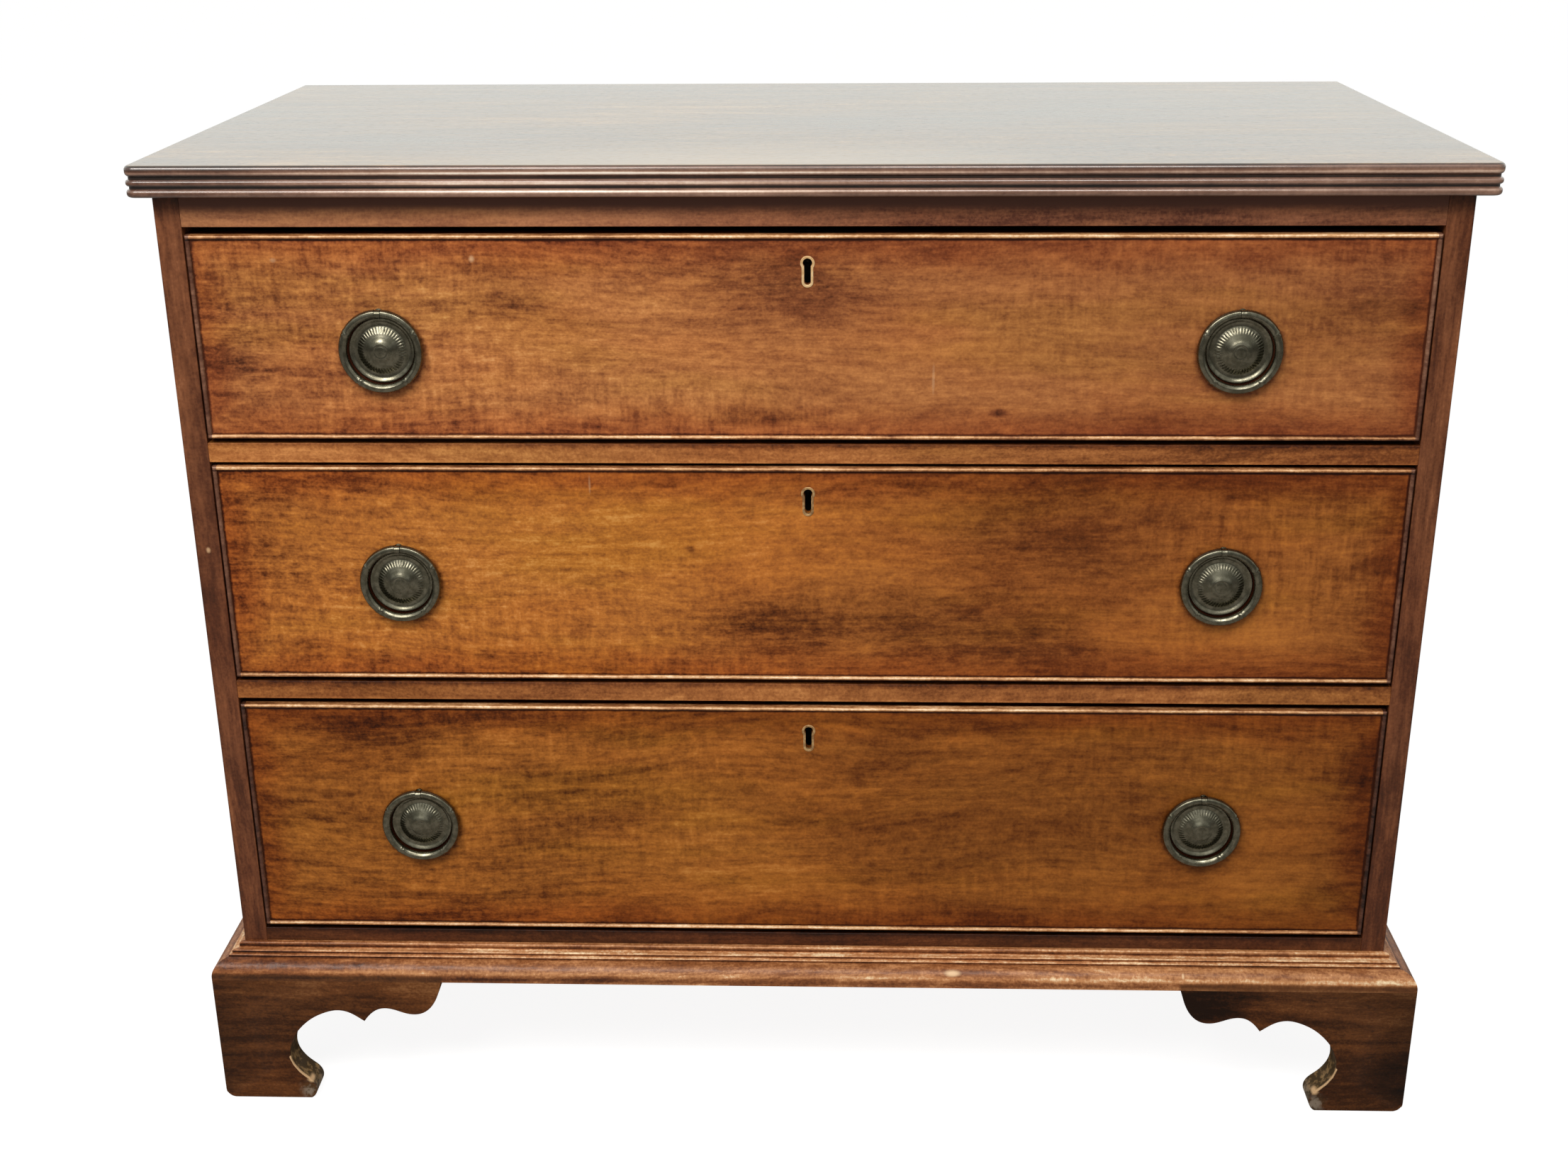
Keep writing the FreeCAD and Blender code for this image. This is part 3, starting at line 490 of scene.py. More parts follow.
def toe_wear_and_highlight(side):
    """A painted highlight along the edge of a front foot's toe, a spot of bare wood on the cut
    behind it, and its rough broken tip.
    """
    outer = -FOOT_BOX[0].x
    face = FOOT_BOX[0].y

    def at(across, height):
        return (side * (outer - across * MM), height * MM)

    def patch(graph, parts, ragged, tone, colour):
        front_x, depth, front_z = (parts.outputs[i] for i in range(3))

        def behind_face(start, end, first=1.0, last=0.0):
            return graph.ease(depth, face + start * MM, face + end * MM, first, last)

        low = graph.ease(front_z, HOLLOW_UP[0] * MM, HOLLOW_UP[1] * MM, 1.0, 0.0)
        inner = graph.ease(graph.math("ABSOLUTE", front_x), outer - HOLLOW_INWARD[1] * MM,
                           outer - HOLLOW_INWARD[0] * MM, 1.0, 0.0)
        inside = graph.product(graph.product(behind_face(1.2, 2.2, 0.0, 1.0), low),
                               graph.product(inner, behind_face(*HOLLOW_BEHIND)))
        scratches = graph.figure(graph.place, "scratches")
        hollow = graph.mix(graph.ease(scratches, 0.46, 0.66), TOE_GREY, TOE_SCRATCH)
        colour = graph.mix(graph.product(inside, 0.85), colour, hollow)
        rough = spot(graph, front_x, front_z, *at(*TOE_TIP), 10 * MM, 10 * MM, ragged, 1.4)
        colour = graph.mix(graph.product(rough, 0.7), colour,
                           graph.mix(graph.ease(scratches, 0.42, 0.6), TOE_GREY, ROUGH_WOOD))
        # A painted highlight along the toe's edge, in the colour of bare wood.
        edge = stroke(graph, front_x, front_z, [at(*place) for place in TOE_EDGE], TOE_STROKE,
                      ragged)
        edge = graph.product(edge, behind_face(1.0, 2.5))
        bare = spot(graph, front_x, front_z, *at(*TOE_WEAR), 4.0 * MM, 3.0 * MM, ragged, 1.2)
        bare = graph.product(bare, behind_face(5, 11))
        bare = graph.product(graph.math("MAXIMUM", edge, bare), 0.85)
        return graph.mix(bare, colour, BARE_WOOD_AND_HIGHLIGHT)

    return patch


REED_TONE = 0.385                        # before the tone of the wood and the lines
REED_LEVELS = (  # painted shade in the grooves and under each reed, and a painted highlight on the shoulder of each reed
    (0.2, 0.8, -0.3), (7.4, 1.2, -0.6), (8.9, 1.1, -0.22), (14.5, 1.2, -0.6), (16.1, 1.1, -0.20),
    (21.6, 1.8, -0.14), (23.4, 0.8, -0.40), (4.5, 1.6, 0.10), (10.9, 1.6, 0.06), (18.3, 1.6, 0.26),
)


def reeded_edge(graph, parts, ragged, tone, colour):
    """The reeds are greyer than the top's face, with painted shade in the grooves and painted
    highlights on the crests.
    """
    x, y, z = (parts.outputs[i] for i in range(3))
    # Painted highlights strongest towards the middle; the left end is darker.
    middle = distance_to(graph, x, z, -0.15, TOP_FACE, 0.32, 1.0)
    highlight_strength = graph.ease(middle, 0.0, 1.0, 0.36, 0.0)
    end = graph.ease(x, -0.46, -0.24, -0.16, 0.0)
    values = [REED_TONE, graph.centred(tone, 0.35), graph.product(highlight_strength, 0.3), end]
    for _, level, half, change in level_lines(TOP_UNDERSIDE, REED_LEVELS):
        amount = graph.math("ADD", highlight_strength, change) if change > 0 else change
        values.append(graph.product(graph.near(z, level, half), amount))
    edge = graph.ramp(graph.total(values), even_stops(REED_TONES))
    below_face = graph.ease(z, TOP_FACE - 0.5 * MM, TOP_FACE - 0.1 * MM, 1.0, 0.0)
    # A painted sheen on the top's face near the front, in the middle.
    pale = graph.ease(distance_to(graph, x, y, -0.05, -0.26, 0.36, 0.16), 0.0, 1.0, 0.6, 0.0)
    return graph.mix(below_face, graph.mix(pale, colour, TOP_PAINTED_SHEEN), edge)


def front_materials():
    made = {}
    made["drawer_1_front"] = wood(
        "front_upper", UPPER_FRONT_TONES, seed=3.1, ripple=0.30, slope=-0.02, specular=0.15,
        cloud=0.16, band=0.24, streak=0.32, mottle=0.50, speckle=0.38, calm=0.40, olive=0.4,
        borders=panel_dirt_and_shade(1, 0.034, 0.13), halos=handle_shadows(1),
        stains=on_front(1, (
            (-0.005, 0.117, 0.085, 0.032, 0.14, 1.2), (-0.006, 0.119, 0.050, 0.018, 0.10, 1.2),
            (-0.224, 0.111, 0.034, 0.011, 0.26, 1.0), (-0.410, 0.120, 0.100, 0.045, 0.10, 1.0),
            (-0.200, 0.060, 0.170, 0.100, -0.11, 1.0), (0.420, 0.040, 0.070, 0.045, -0.08, 1.0),
            (-0.453, 0.064, 0.030, 0.020, 0.26, 1.2), (-0.385, 0.050, 0.045, 0.020, 0.10, 1.4),
            (-0.053, 0.019, 0.050, 0.009, 0.18, 1.4), (0.430, 0.115, 0.055, 0.045, 0.16, 1.5),
            (0.300, 0.134, 0.080, 0.024, 0.10, 1.5), (0.150, 0.022, 0.009, 0.004, 0.35, 1.8),
        )),
        marks=on_front(1, (
            (-0.258, 0.144, 0.0026, 0.0032, PALE_CHIP, 0.45),
            (-0.412, 0.143, 0.0030, 0.0022, PALE_CHIP, 0.25),
            (0.098, 0.049, 0.0012, 0.013, PALE_CHIP, 0.20),
        )))
    made["drawer_2_front"] = wood(
        "front_middle", MIDDLE_FRONT_TONES, seed=8.6, ripple=0.24, slope=-0.17,
        cloud=0.16, band=0.26, streak=0.34, mottle=0.52, speckle=0.40, calm=0.48, olive=0.5,
        shift=0.03,
        borders=panel_dirt_and_shade(2, 0.036, 0.15), halos=handle_shadows(2),
        stains=on_front(2, (
            (-0.032, 0.050, 0.098, 0.032, 0.20, 1.2), (-0.029, 0.053, 0.056, 0.018, 0.12, 1.2),
            (0.110, 0.045, 0.120, 0.040, 0.18, 1.2), (-0.450, 0.085, 0.070, 0.110, 0.10, 1.0),
            (-0.200, 0.100, 0.190, 0.100, -0.08, 1.0), (0.400, 0.050, 0.070, 0.050, -0.09, 1.0),
            (0.200, 0.110, 0.180, 0.100, 0.09, 1.0),
            (0.200, 0.105, 0.110, 0.060, 0.10, 1.5), (0.192, 0.026, 0.060, 0.022, 0.12, 1.5),
            (0.436, 0.085, 0.040, 0.085, 0.08, 1.5), (-0.430, 0.155, 0.050, 0.022, 0.14, 1.4),
            (-0.095, 0.115, 0.0035, 0.0035, 0.30, 1.0),
        )),
        marks=on_front(2, ((-0.175, 0.169, 0.0010, 0.009, PALE_CHIP, 0.20),)))
    made["drawer_3_front"] = wood(
        "front_lower", LOWER_FRONT_TONES, seed=14.9, ripple=0.20, slope=-0.09, shift=0.03,
        cloud=0.26, band=0.36, streak=0.32, mottle=0.48, speckle=0.34, calm=0.38, olive=0.5,
        borders=panel_dirt_and_shade(3, 0.036, 0.15), halos=handle_shadows(3),
        stains=on_front(3, (
            (0.038, 0.153, 0.035, 0.014, 0.16, 1.6), (-0.210, 0.110, 0.060, 0.026, 0.13, 1.5),
            (0.326, 0.087, 0.050, 0.035, 0.14, 1.5), (0.457, 0.090, 0.030, 0.100, 0.10, 1.5),
            (0.380, 0.046, 0.040, 0.026, -0.10, 1.5), (-0.380, 0.190, 0.070, 0.018, 0.10, 1.5),
            (0.125, 0.100, 0.140, 0.100, 0.08, 1.0),
        )))
    return made


def rail_materials():
    made = {}
    rail = dict(specular=0.2, mottle=0.4, speckle=0.4, olive=0.3)
    made["rail_mahogany"] = wood("rail", RAIL_TONES, seed=21.0, slope=-0.34,
                                 lines=rail_lines("upper_drawer_rail"), shift=0.02,
                                 stains=((-0.33, 0.60, 0.22, 0.05, -0.12, 1.0),), **rail)
    made["lower_drawer_rail"] = wood("lower_rail", RAIL_TONES, seed=22.5, slope=-0.06,
                                     lines=rail_lines("lower_drawer_rail"), shift=0.06,
                                     stains=((-0.42, 0.39, 0.12, 0.05, 0.10, 1.0),
                                             (0.0, 0.39, 0.18, 0.05, -0.13, 1.0)), **rail)
    made["bottom_rail"] = wood("bottom_rail", LOW_RAIL_TONES, seed=23.4, slope=0.06,
                               lines=rail_lines("bottom_rail", arris=0.0), **rail)
    made["frieze_rail"] = wood(
        "frieze", FRIEZE_TONES, seed=24.2, slope=-0.04, shift=0.03, patch=shade_under_top,
        stains=((-0.24, FRIEZE_MIDDLE, 0.26, 0.05, -0.27, 0.6),
                (-0.41, FRIEZE_MIDDLE, 0.10, 0.05, -0.13, 1.0)),
        **dict(rail, mottle=0.2, speckle=0.3))
    return made


def case_materials():
    made = {}
    made["side_mahogany"] = wood(
        "side", SIDE_TONES, grain="Z", seed=27.0, specular=0.25, slope=0.03, band=0.4,
        streak=0.35, mottle=0.2, speckle=0.25,
        # The first line darkens the sides just below the top board: painted shade under its
        # overhang.
        lines=(("Z", TOP_UNDERSIDE, 16 * MM, -0.35), ("X", -0.5, 2.0 * MM, -0.15),
               ("X", 0.5, 2.0 * MM, -0.15)),
        stains=((-0.49, 0.50, 0.03, 0.12, 0.24, 0.8), (0.49, 0.26, 0.03, 0.14, 0.14, 0.8),
                (0.49, 0.50, 0.03, 0.12, -0.12, 0.8)),
        marks=((-0.4898, 0.516, 0.0020, 0.0028, srgb(200, 160, 120), 0.9),))
    made["top_mahogany"] = wood(
        "top", TOP_TONES, seed=33.0, ripple=0.2, red=0.1, cloud=0.4, band=0.35, streak=0.4,
        roughness=0.30, specular=0.5, coat=0.8, coat_roughness=0.12, relief=0.06,
        patch=reeded_edge)
    made["bead_mahogany"] = wood(
        "bead", BEAD_TONES, seed=39.0, cloud=0.3, band=0.2, streak=0.35, lines=bead_highlights_and_shade(),
        patch=upright_beads, roughness=0.34, specular=0.3, relief=0.2)
    return made


def base_materials():
    made = {}
    moulding = dict(
        seed=45.0, cloud=0.25, band=0.2, streak=0.3, mottle=0.25, speckle=0.3,
        patch=foot_band, shift=-0.01, slope=0.06,
        # The stains brighten the middle and the right end: painted light.
        stains=((-0.04, 0.14, 0.26, 0.05, -0.08, 0.6), (0.34, 0.14, 0.16, 0.05, -0.08, 1.0)),
        # Painted highlights on the crests and upward faces of the profile, and painted shade on its
        # upright faces and in the quirk.
        lines=level_lines(MOULDING_TOP, (
            (-22.5, 3.5, -0.18), (-17.6, 2.6, 0.16), (-12.5, 2.6, -0.06), (-9.4, 0.8, -0.5),
            (-8.2, 0.6, 0.24), (-6.6, 1.1, -0.34), (-5.2, 0.9, 0.24), (-3.2, 1.6, -0.30),
            (-0.6, 1.0, 0.16),
        )),
        marks=((0.1248, 0.1346, 0.007, 0.0022, PALE_CHIP, 0.9),
               (0.3239, 0.1342, 0.0012, 0.0022, PALE_CHIP, 0.9)),
        roughness=0.36, specular=0.2, coat=0.12, coat_roughness=0.3, relief=0.2)
    made["moulding_mahogany"] = wood("moulding", MOULD_TONES, **moulding)
    made["base_moulding_ends"] = wood("moulding_ends", MOULD_TONES, grain="Y", **moulding)
    foot = dict(grain="XY", seed=51.0, cloud=0.5, band=0.5, streak=0.2, speckle=0.34,
                specular=0.15, relief=0.3)
    made["foot_front_left"] = wood("foot_left", FOOT_TONES, patch=toe_wear_and_highlight(-1),
                                   stains=((-0.32, 0.11, 0.05, 0.03, -0.20, 1.0),), **foot)
    made["foot_front_right"] = wood("foot_right", FOOT_TONES, patch=toe_wear_and_highlight(1), shift=-0.10,
                                    stains=((0.34, 0.11, 0.05, 0.03, 0.34, 1.0),), **foot)
    made["foot_mahogany"] = wood("foot", FOOT_TONES, **foot)
    return made


BACK_BOARDS = 4


def hidden_wood_materials():
    """Glue blocks, drawer linings and the pine behind."""
    made = {}
    # The glue blocks take the feet's dark tones: painted shade where they show behind the toes.
    made["glue_blocks"] = wood(
        "shaded_blocks", FOOT_TONES, seed=54.0, grain="Z", specular=0.1, roughness=0.7, relief=0.4)
    lining = dict(streak=0.5, tick=0.5, mottle=0.15, speckle=0.2, red=0.0, roughness=0.62,
                  specular=0.25, relief=0.3)
    made["lining_oak"] = wood("oak_lining", OAK_TONES, grain="Y", seed=57.0, **lining)
    for number in FRONT_BOXES:
        made[f"drawer_{number}_back"] = wood(f"oak_back_{number}", OAK_TONES,
                                             seed=58.0 + number, **lining)
    pine = dict(grain="Z", band=0.7, streak=0.4, mottle=0.15, speckle=0.2, red=0.1,
                roughness=0.66, specular=0.25, relief=0.3)
    made["carcase_pine"] = wood("pine", PINE_TONES, seed=63.0, **pine)
    low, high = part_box("back_boards")
    joints = [low[0] + (high[0] - low[0]) * i / BACK_BOARDS for i in range(1, BACK_BOARDS)]
    made["back_boards"] = wood("pine_boards", PINE_TONES, seed=63.0,
                               lines=[("X", x, 1.6 * MM, -1.2) for x in joints], **pine)
    return made


def metal_materials():
    made = {}
    made["drawer_1_escutcheon"] = metal(
        "escutcheon_pale", srgb(240, 206, 156), srgb(214, 170, 116), roughness=0.4, metallic=0.35)
    made["escutcheon_brass"] = metal(
        "escutcheon", srgb(206, 168, 116), srgb(140, 104, 66), roughness=0.4, metallic=0.5)
    made["handle_brass"] = metal(
        "handle", srgb(117, 113, 98), srgb(92, 89, 75), roughness=0.26, relief=0.06)
    # Dark, so that the keyholes look black: painted shade on the lock plate behind them.
    made["lock_brass"] = metal("lock_plate", srgb(40, 33, 22), srgb(14, 11, 7), roughness=0.7,
                               metallic=0.6)
    made["lock_iron"] = metal("lock_iron", srgb(70, 64, 58), srgb(24, 20, 18), roughness=0.6)
    return made


# By node name where a node has its own, and otherwise by material slot.
MATERIALS = {**front_materials(), **rail_materials(), **case_materials(), **base_materials(),
             **hidden_wood_materials(), **metal_materials()}
SLOT_OF = {part["node"]: part["material_slot"] for part in frame["record"]["subparts"]}


def material_for(node):
    return MATERIALS.get(node) or MATERIALS[SLOT_OF[node]]


# ---------------------------------------------------------------- CAD nodes
WELD_DISTANCE = 0.00001
SHARP_EDGE = math.radians(35)            # edges sharper than this are softened
SOFT_EDGE = {  # width of the worn edge in millimetres, by material slot
    "top_mahogany": 0.5, "side_mahogany": 0.6, "rail_mahogany": 0.5,
    "drawer_front_mahogany": 0.0, "bead_mahogany": 0.3, "moulding_mahogany": 0.5,
    "foot_mahogany": 1.2, "lining_oak": 0.5, "carcase_pine": 0.6, "escutcheon_brass": 0.25,
    "handle_brass": 0.2, "lock_brass": 0.2, "lock_iron": 0.2,
}


def dress(node):
    """Gives a CAD node its material and slightly worn edges."""
    piece = nodes[node]
    slot = SLOT_OF[node]
    for entry in piece.material_slots:
        entry.material = material_for(node)
    if not SOFT_EDGE[slot]:
        return
    weld = piece.modifiers.new("weld", "WELD")
    weld.merge_threshold = WELD_DISTANCE
    bevel = piece.modifiers.new("soft_edges", "BEVEL")
    bevel.width = SOFT_EDGE[slot] * MM
    bevel.segments = 2
    bevel.limit_method = "ANGLE"
    bevel.angle_limit = SHARP_EDGE
    bevel.use_clamp_overlap = True
    piece.modifiers.new("shading", "WEIGHTED_NORMAL")


for node_name in sorted(nodes):
    dress(node_name)


# ---------------------------------------------------------------- handles
PLATE_PROFILE = (  # radius and height in millimetres, from the centre to the rim
    (0.0, 6.55), (1.5, 6.55), (3.0, 6.5), (3.9, 6.42), (4.3, 6.25), (4.8, 6.22), (5.2, 6.34),
    (6.1, 6.3), (6.6, 6.05), (7.3, 5.85), (8.0, 5.5), (8.7, 5.1), (9.4, 4.75), (10.1, 4.45),
    (10.8, 4.18), (11.5, 3.9), (12.1, 3.65), (12.8, 3.35), (13.5, 3.1), (14.1, 2.85), (14.7, 2.6),
    (15.4, 2.25), (16.2, 1.8), (17.0, 1.35), (17.8, 0.9), (18.5, 0.5), (19.0, 0.25), (19.5, 0.12),
    (20.3, 0.1), (21.4, 0.1), (22.0, 0.16), (22.5, 0.35), (23.0, 0.65), (23.6, 1.05),
    (24.2, 1.4), (24.7, 1.6), (25.1, 1.68), (25.4, 1.62), (25.65, 1.4), (25.8, 1.0), (25.8, 0.02),
)
RIB_COUNT = 44
RIB_INNER, RIB_OUTER = 13.8, 19.0        # millimetres from the centre
RIB_DEPTH = 0.45
RIB_SHARPNESS = 0.8
PLATE_STEPS = 320
# The post's lug above the plate, in millimetres: its radius, and its ends along Y.
LUG_RADIUS, LUG_FRONT, LUG_BACK = 3.1, -1.0, -0.02
LUG_STEPS = 40
CREASE = math.radians(38)                # a sharper edge isn't shaded smooth


def mesh_piece(name, points, faces):
    """A piece of brass from its points and faces."""
    mesh = bpy.data.meshes.new(name)
    mesh.from_pydata([tuple(point) for point in points], [], faces)
    mesh.validate()
    mesh.shade_smooth()
    mesh.set_sharp_from_angle(angle=CREASE)
    mesh.materials.append(MATERIALS["handle_brass"])
    piece = bpy.data.objects.new(name, mesh)
    bpy.context.scene.collection.objects.link(piece)
    return piece


def circle(steps):
    """Sine and cosine of the angles of a circle's points."""
    for step in range(steps):
        angle = 2 * math.pi * step / steps
        yield math.sin(angle), math.cos(angle)


def grid_faces(rows, columns, start=0):
    """Quads of a grid whose rows are loops of points."""
    faces = []
    for row in range(rows - 1):
        for column in range(columns):
            after = (column + 1) % columns
            faces.append((start + row * columns + column, start + row * columns + after,
                          start + (row + 1) * columns + after,
                          start + (row + 1) * columns + column))
    return faces


def tube_faces(rows, columns, start=0):
    """A grid of loops with its two ends closed."""
    last = start + (rows - 1) * columns
    return grid_faces(rows, columns, start) + [
        tuple(range(start + columns - 1, start - 1, -1)), tuple(range(last, last + columns))]


def make_plate(number, side):
    """A rosette: rim, sunk band, ring of ribs, reeds and a domed middle, and the post's lug."""
    centre = handle_centre(number, side)
    base = Vector((centre.x, FRONT_BOXES[number][0].y, centre.z))
    points = [base + Vector((0, -PLATE_PROFILE[0][1] * MM, 0))]
    for radius, height in PLATE_PROFILE[1:]:
        share = (radius - RIB_INNER) / (RIB_OUTER - RIB_INNER)
        depth = RIB_DEPTH * math.sin(math.pi * share) if 0 < share < 1 else 0.0
        for step in range(PLATE_STEPS):
            angle = 2 * math.pi * step / PLATE_STEPS
            rib = abs(math.cos(RIB_COUNT * angle / 2)) ** RIB_SHARPNESS
            lift = height - depth * (1 - rib)
            points.append(base + Vector((radius * math.sin(angle) * MM, -lift * MM,
                                         radius * math.cos(angle) * MM)))
    rows = len(PLATE_PROFILE) - 1
    faces = [(0, 1 + (step + 1) % PLATE_STEPS, 1 + step) for step in range(PLATE_STEPS)]
    faces += [tuple(reversed(face)) for face in grid_faces(rows, PLATE_STEPS, 1)]
    last = 1 + (rows - 1) * PLATE_STEPS
    faces.append(tuple(range(last, last + PLATE_STEPS)))
    lug_start = len(points)
    lug = base + Vector((0, 0, RING_RADIUS))
    for depth in (LUG_FRONT, LUG_BACK):
        points += [lug + Vector((LUG_RADIUS * MM * across, depth * MM, LUG_RADIUS * MM * up))
                   for across, up in circle(LUG_STEPS)]
    faces += tube_faces(2, LUG_STEPS, lug_start)
    plate = mesh_piece(f"drawer_{number}_rosette_{side}", points, faces)
    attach(plate, f"drawer_{number}")
    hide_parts(f"drawer_{number}_handle_plates")


TIES = (62.0, 142.0, 218.0, 298.0)       # degrees clockwise from the top
TIE_HALF = 4.0                           # degrees
HALF_GAP = 2.4 * MM                      # of the bar at its hinge
PIN_RADIUS, PIN_REACH = 1.5 * MM, 1.0 * MM   # the pin reaches into the bar's two ends
RING_SETBACK = 1.0 * MM                  # of the bar behind its hinge pin
RING_STEPS, BAR_STEPS, PIN_STEPS = 300, 36, 16
REEDS = 7
# All in millimetres: the worn bar's growth, its reeds, its outer side and the ribbons.
RING_SWELL, REED_HEIGHT, OUTER_SWELL = 0.2, 0.10, 0.12
RIBBON_HEIGHT, TIE_HEIGHT, TIE_LIMIT = 0.42, 0.22, 0.55


def bar_radius(turn, around):
    """Radius of the ring's bar: reeds between ties, crossed ribbons on the ties."""
    facing = math.sin(math.radians(around))
    outside = max(0.0, facing) + 0.35 * max(0.0, math.cos(math.radians(around)))
    nearest = min(abs(turn - tie) for tie in TIES)
    swell = 1 - math.exp(-(nearest / 9.0) ** 2)
    reeds = REED_HEIGHT * math.cos(math.radians(REEDS * around)) * swell
    ribbon = 0.0
    for tie in TIES:
        offset = turn - tie
        if abs(offset) < 2.5 * TIE_HALF:
            slant = TIE_HALF * math.sin(math.radians(around - 90))
            for sign in (-1, 1):
                ribbon += RIBBON_HEIGHT * math.exp(-((offset - sign * slant) / 1.1) ** 2)
            ribbon += TIE_HEIGHT * math.exp(-(offset / (1.3 * TIE_HALF)) ** 4)
    return RING_BAR / 2 + (reeds + RING_SWELL + OUTER_SWELL * swell * outside
                           + min(ribbon, TIE_LIMIT) * outside) * MM


def make_ring(number, side):
    """The bar, open at the hinge, and the pin that it turns on."""
    centre = handle_centre(number, side)
    first = math.degrees(math.asin(HALF_GAP / RING_RADIUS))
    points = []
    for step in range(RING_STEPS + 1):
        turn = first + (360 - 2 * first) * step / RING_STEPS
        angle = math.radians(turn)
        outward = Vector((math.sin(angle), 0, math.cos(angle)))
        middle = centre + outward * RING_RADIUS + Vector((0, RING_SETBACK, 0))
        for place in range(BAR_STEPS):
            around = 360 * place / BAR_STEPS
            radius = bar_radius(turn, around)
            points.append(middle + outward * (radius * math.cos(math.radians(around)))
                          + Vector((0, -radius * math.sin(math.radians(around)), 0)))
    pin_start = len(points)
    for x in (-HALF_GAP - PIN_REACH, HALF_GAP + PIN_REACH):
        points += [centre + Vector((x, PIN_RADIUS * across, RING_RADIUS + PIN_RADIUS * up))
                   for across, up in circle(PIN_STEPS)]
    faces = tube_faces(RING_STEPS + 1, BAR_STEPS) + tube_faces(2, PIN_STEPS, pin_start)
    ring = mesh_piece(f"drawer_{number}_reeded_ring_{side}", points, faces)
    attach(ring, f"drawer_{number}_ring_{side}")
    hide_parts(f"drawer_{number}_ring_{side}")


for drawer_number, handle_side in RING_BOXES:
    make_plate(drawer_number, handle_side)
    make_ring(drawer_number, handle_side)


# ---------------------------------------------------------------- studio
CAMERA_PLACE = (0.02850, -1.69049, 1.04982)
CAMERA_TURNS = (1.905, 21.249, 0.430)    # degrees of yaw, of pitch downwards and of roll
SENSOR_WIDTH, FOCAL_LENGTH = 36.0, 43.905


def make_camera():
    """A little above the top board, looking down."""
    yaw, pitch, roll = (math.radians(turn) for turn in CAMERA_TURNS)
    ahead = Vector((-math.sin(yaw) * math.cos(pitch), math.cos(yaw) * math.cos(pitch),
                    -math.sin(pitch)))
    right = Vector((math.cos(yaw), math.sin(yaw), 0.0))
    down = ahead.cross(right)
    image_right = right * math.cos(roll) + down * math.sin(roll)
    image_up = right * math.sin(roll) - down * math.cos(roll)
    turn = Matrix((image_right, image_up, -ahead)).transposed().to_4x4()
    data = bpy.data.cameras.new("camera")
    data.sensor_width = SENSOR_WIDTH
    data.lens = FOCAL_LENGTH
    data.clip_start, data.clip_end = 0.05, 60.0
    camera = bpy.data.objects.new("camera", data)
    camera.matrix_world = Matrix.Translation(CAMERA_PLACE) @ turn
    bpy.context.scene.collection.objects.link(camera)
    bpy.context.scene.camera = camera


def area_light(name, place, target, width, height, radiance, tint):
    """A soft box that the camera doesn't see, aimed at a target."""
    data = bpy.data.lights.new(name, "AREA")
    data.shape = "RECTANGLE"
    data.size, data.size_y = width, height
    data.energy = radiance * math.pi * width * height
    data.color = tint
    lamp = bpy.data.objects.new(name, data)
    lamp.location = place
    aim = Vector(target) - Vector(place)
    lamp.rotation_mode = "QUATERNION"
    lamp.rotation_quaternion = aim.to_track_quat("-Z", "Y")
    lamp.visible_camera = False
    bpy.context.scene.collection.objects.link(lamp)


WINDOW = 1.15                            # strength of a tall window behind the camera
WORLD_LIGHT, WORLD_TINT = 0.34, (1.0, 0.985, 0.96, 1.0)
ROOM_TINT = (0.985, 1.0, 0.955, 1.0)     # of the room that is reflected
WHITE = (1.0, 1.0, 1.0, 1.0)


def make_world():
    """Even soft light; the camera sees plain white, and reflections a room lit from behind."""
    world = bpy.data.worlds.new("studio")
    bpy.context.scene.world = world
    world.use_nodes = True
    tree = world.node_tree
    tree.nodes.clear()
    add = tree.nodes.new
    link = tree.links.new
    light = add("ShaderNodeBackground")
    light.inputs["Color"].default_value = WORLD_TINT
    light.inputs["Strength"].default_value = WORLD_LIGHT
    backdrop = add("ShaderNodeBackground")
    backdrop.inputs["Color"].default_value = WHITE
    direction = add("ShaderNodeTexCoord")
    parts = add("ShaderNodeSeparateXYZ")
    link(direction.outputs["Generated"], parts.inputs[0])

    def eased(source, start, end, first, last):
        made = add("ShaderNodeMapRange")
        made.interpolation_type = "SMOOTHSTEP"
        for key, value in (("From Min", start), ("From Max", end), ("To Min", first),
                           ("To Max", last)):
            made.inputs[key].default_value = value
        link(source, made.inputs["Value"])
        return made.outputs["Result"]

    def joined(operation, first, second):
        made = add("ShaderNodeMath")
        made.operation = operation
        link(first, made.inputs[0])
        link(second, made.inputs[1])
        return made.outputs[0]

    aside, depth, rise = (parts.outputs[i] for i in range(3))
    window = joined("MULTIPLY", eased(aside, -0.40, -0.18, 0.45, 1.0),
                    eased(aside, -0.02, 0.22, 1.0, 0.45))
    window = joined("MULTIPLY", window, eased(rise, 0.05, 0.27, 0.0, WINDOW))
    window = joined("MULTIPLY", window, eased(depth, -0.30, 0.0, 1.0, 0.0))
    strength = joined("ADD", eased(depth, -0.7, 0.5, 0.22, 1.04), window)
    mirrored = add("ShaderNodeBackground")
    mirrored.inputs["Color"].default_value = ROOM_TINT
    link(strength, mirrored.inputs["Strength"])
    path = add("ShaderNodeLightPath")
    indirect = add("ShaderNodeMixShader")
    link(path.outputs["Is Glossy Ray"], indirect.inputs[0])
    link(light.outputs[0], indirect.inputs[1])
    link(mirrored.outputs[0], indirect.inputs[2])
    mix = add("ShaderNodeMixShader")
    link(path.outputs["Is Camera Ray"], mix.inputs[0])
    link(indirect.outputs[0], mix.inputs[1])
    link(backdrop.outputs[0], mix.inputs[2])
    output = add("ShaderNodeOutputWorld")
    link(mix.outputs[0], output.inputs["Surface"])


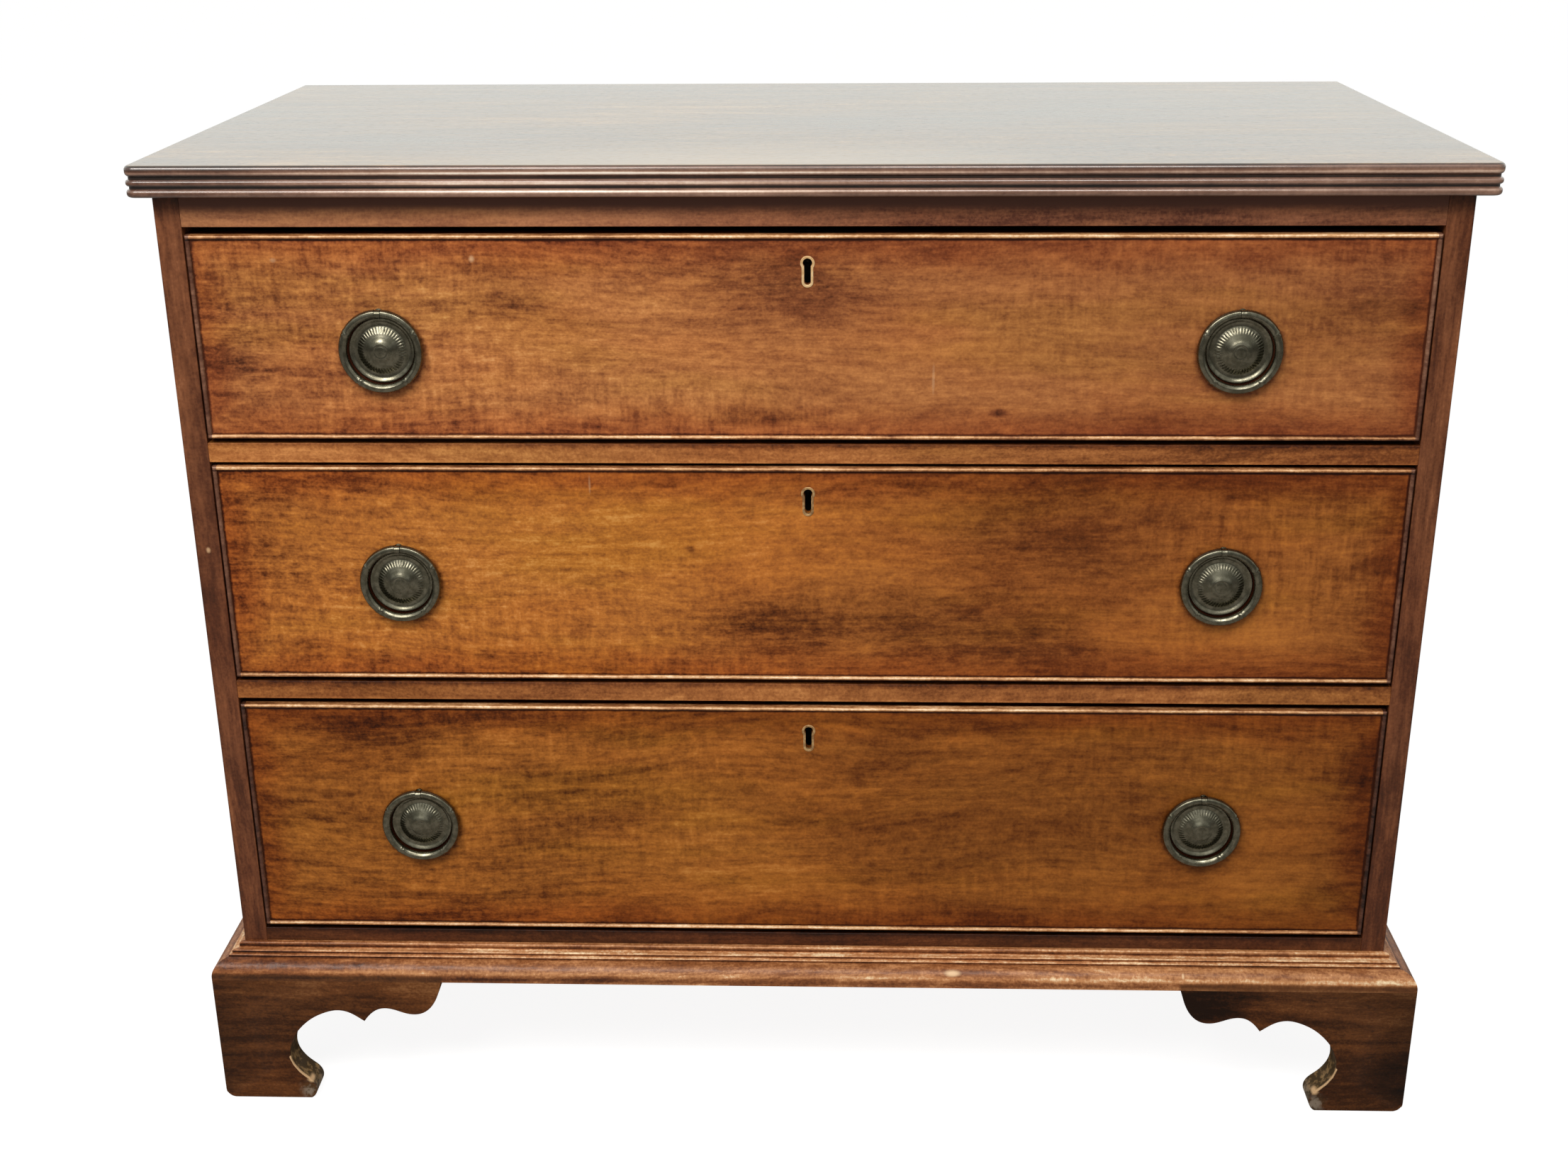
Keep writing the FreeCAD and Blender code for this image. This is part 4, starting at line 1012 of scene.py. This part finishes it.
FLOOR_HALF, FLOOR_DROP = 30.0, 0.0005
FLOOR_COLOUR = (0.50, 0.48, 0.45, 1.0)
# What the camera sees of it: a glow, and grey that keeps the shadow.
SHOWN_GREY, SHOWN_GLOW = (0.30, 0.30, 0.30, 1.0), 0.90


def make_floor():
    """A pale floor that the camera sees as white, with the chest's soft shadow."""
    half = FLOOR_HALF
    mesh = bpy.data.meshes.new("floor")
    mesh.from_pydata([(-half, -half, 0), (half, -half, 0), (half, half, 0), (-half, half, 0)],
                     [], [(0, 1, 2, 3)])
    floor = bpy.data.objects.new("floor", mesh)
    floor.location.z = -FLOOR_DROP
    bpy.context.scene.collection.objects.link(floor)
    material = bpy.data.materials.new("floor")
    material.use_nodes = True
    tree = material.node_tree
    tree.nodes.clear()
    plain = tree.nodes.new("ShaderNodeBsdfDiffuse")
    plain.inputs["Color"].default_value = FLOOR_COLOUR
    shown = tree.nodes.new("ShaderNodeBsdfDiffuse")
    shown.inputs["Color"].default_value = SHOWN_GREY
    glow = tree.nodes.new("ShaderNodeEmission")
    glow.inputs["Strength"].default_value = SHOWN_GLOW
    both = tree.nodes.new("ShaderNodeAddShader")
    tree.links.new(shown.outputs[0], both.inputs[0])
    tree.links.new(glow.outputs[0], both.inputs[1])
    mix = tree.nodes.new("ShaderNodeMixShader")
    path = tree.nodes.new("ShaderNodeLightPath")
    tree.links.new(path.outputs["Is Camera Ray"], mix.inputs[0])
    tree.links.new(plain.outputs[0], mix.inputs[1])
    tree.links.new(both.outputs[0], mix.inputs[2])
    output = tree.nodes.new("ShaderNodeOutputMaterial")
    tree.links.new(mix.outputs[0], output.inputs["Surface"])
    floor.data.materials.append(material)


make_camera()
make_world()
make_floor()
area_light("key", (-1.0, -1.9, 2.5), (0.0, -0.25, 0.45), 1.4, 1.0, 11.0, (1.0, 0.97, 0.93))
area_light("overhead", (0.45, -1.75, 2.6), (0.0, -0.25, 0.5), 0.8, 0.5, 16.0, (1.0, 0.98, 0.95))
bpy.context.scene.view_settings.view_transform = "Standard"
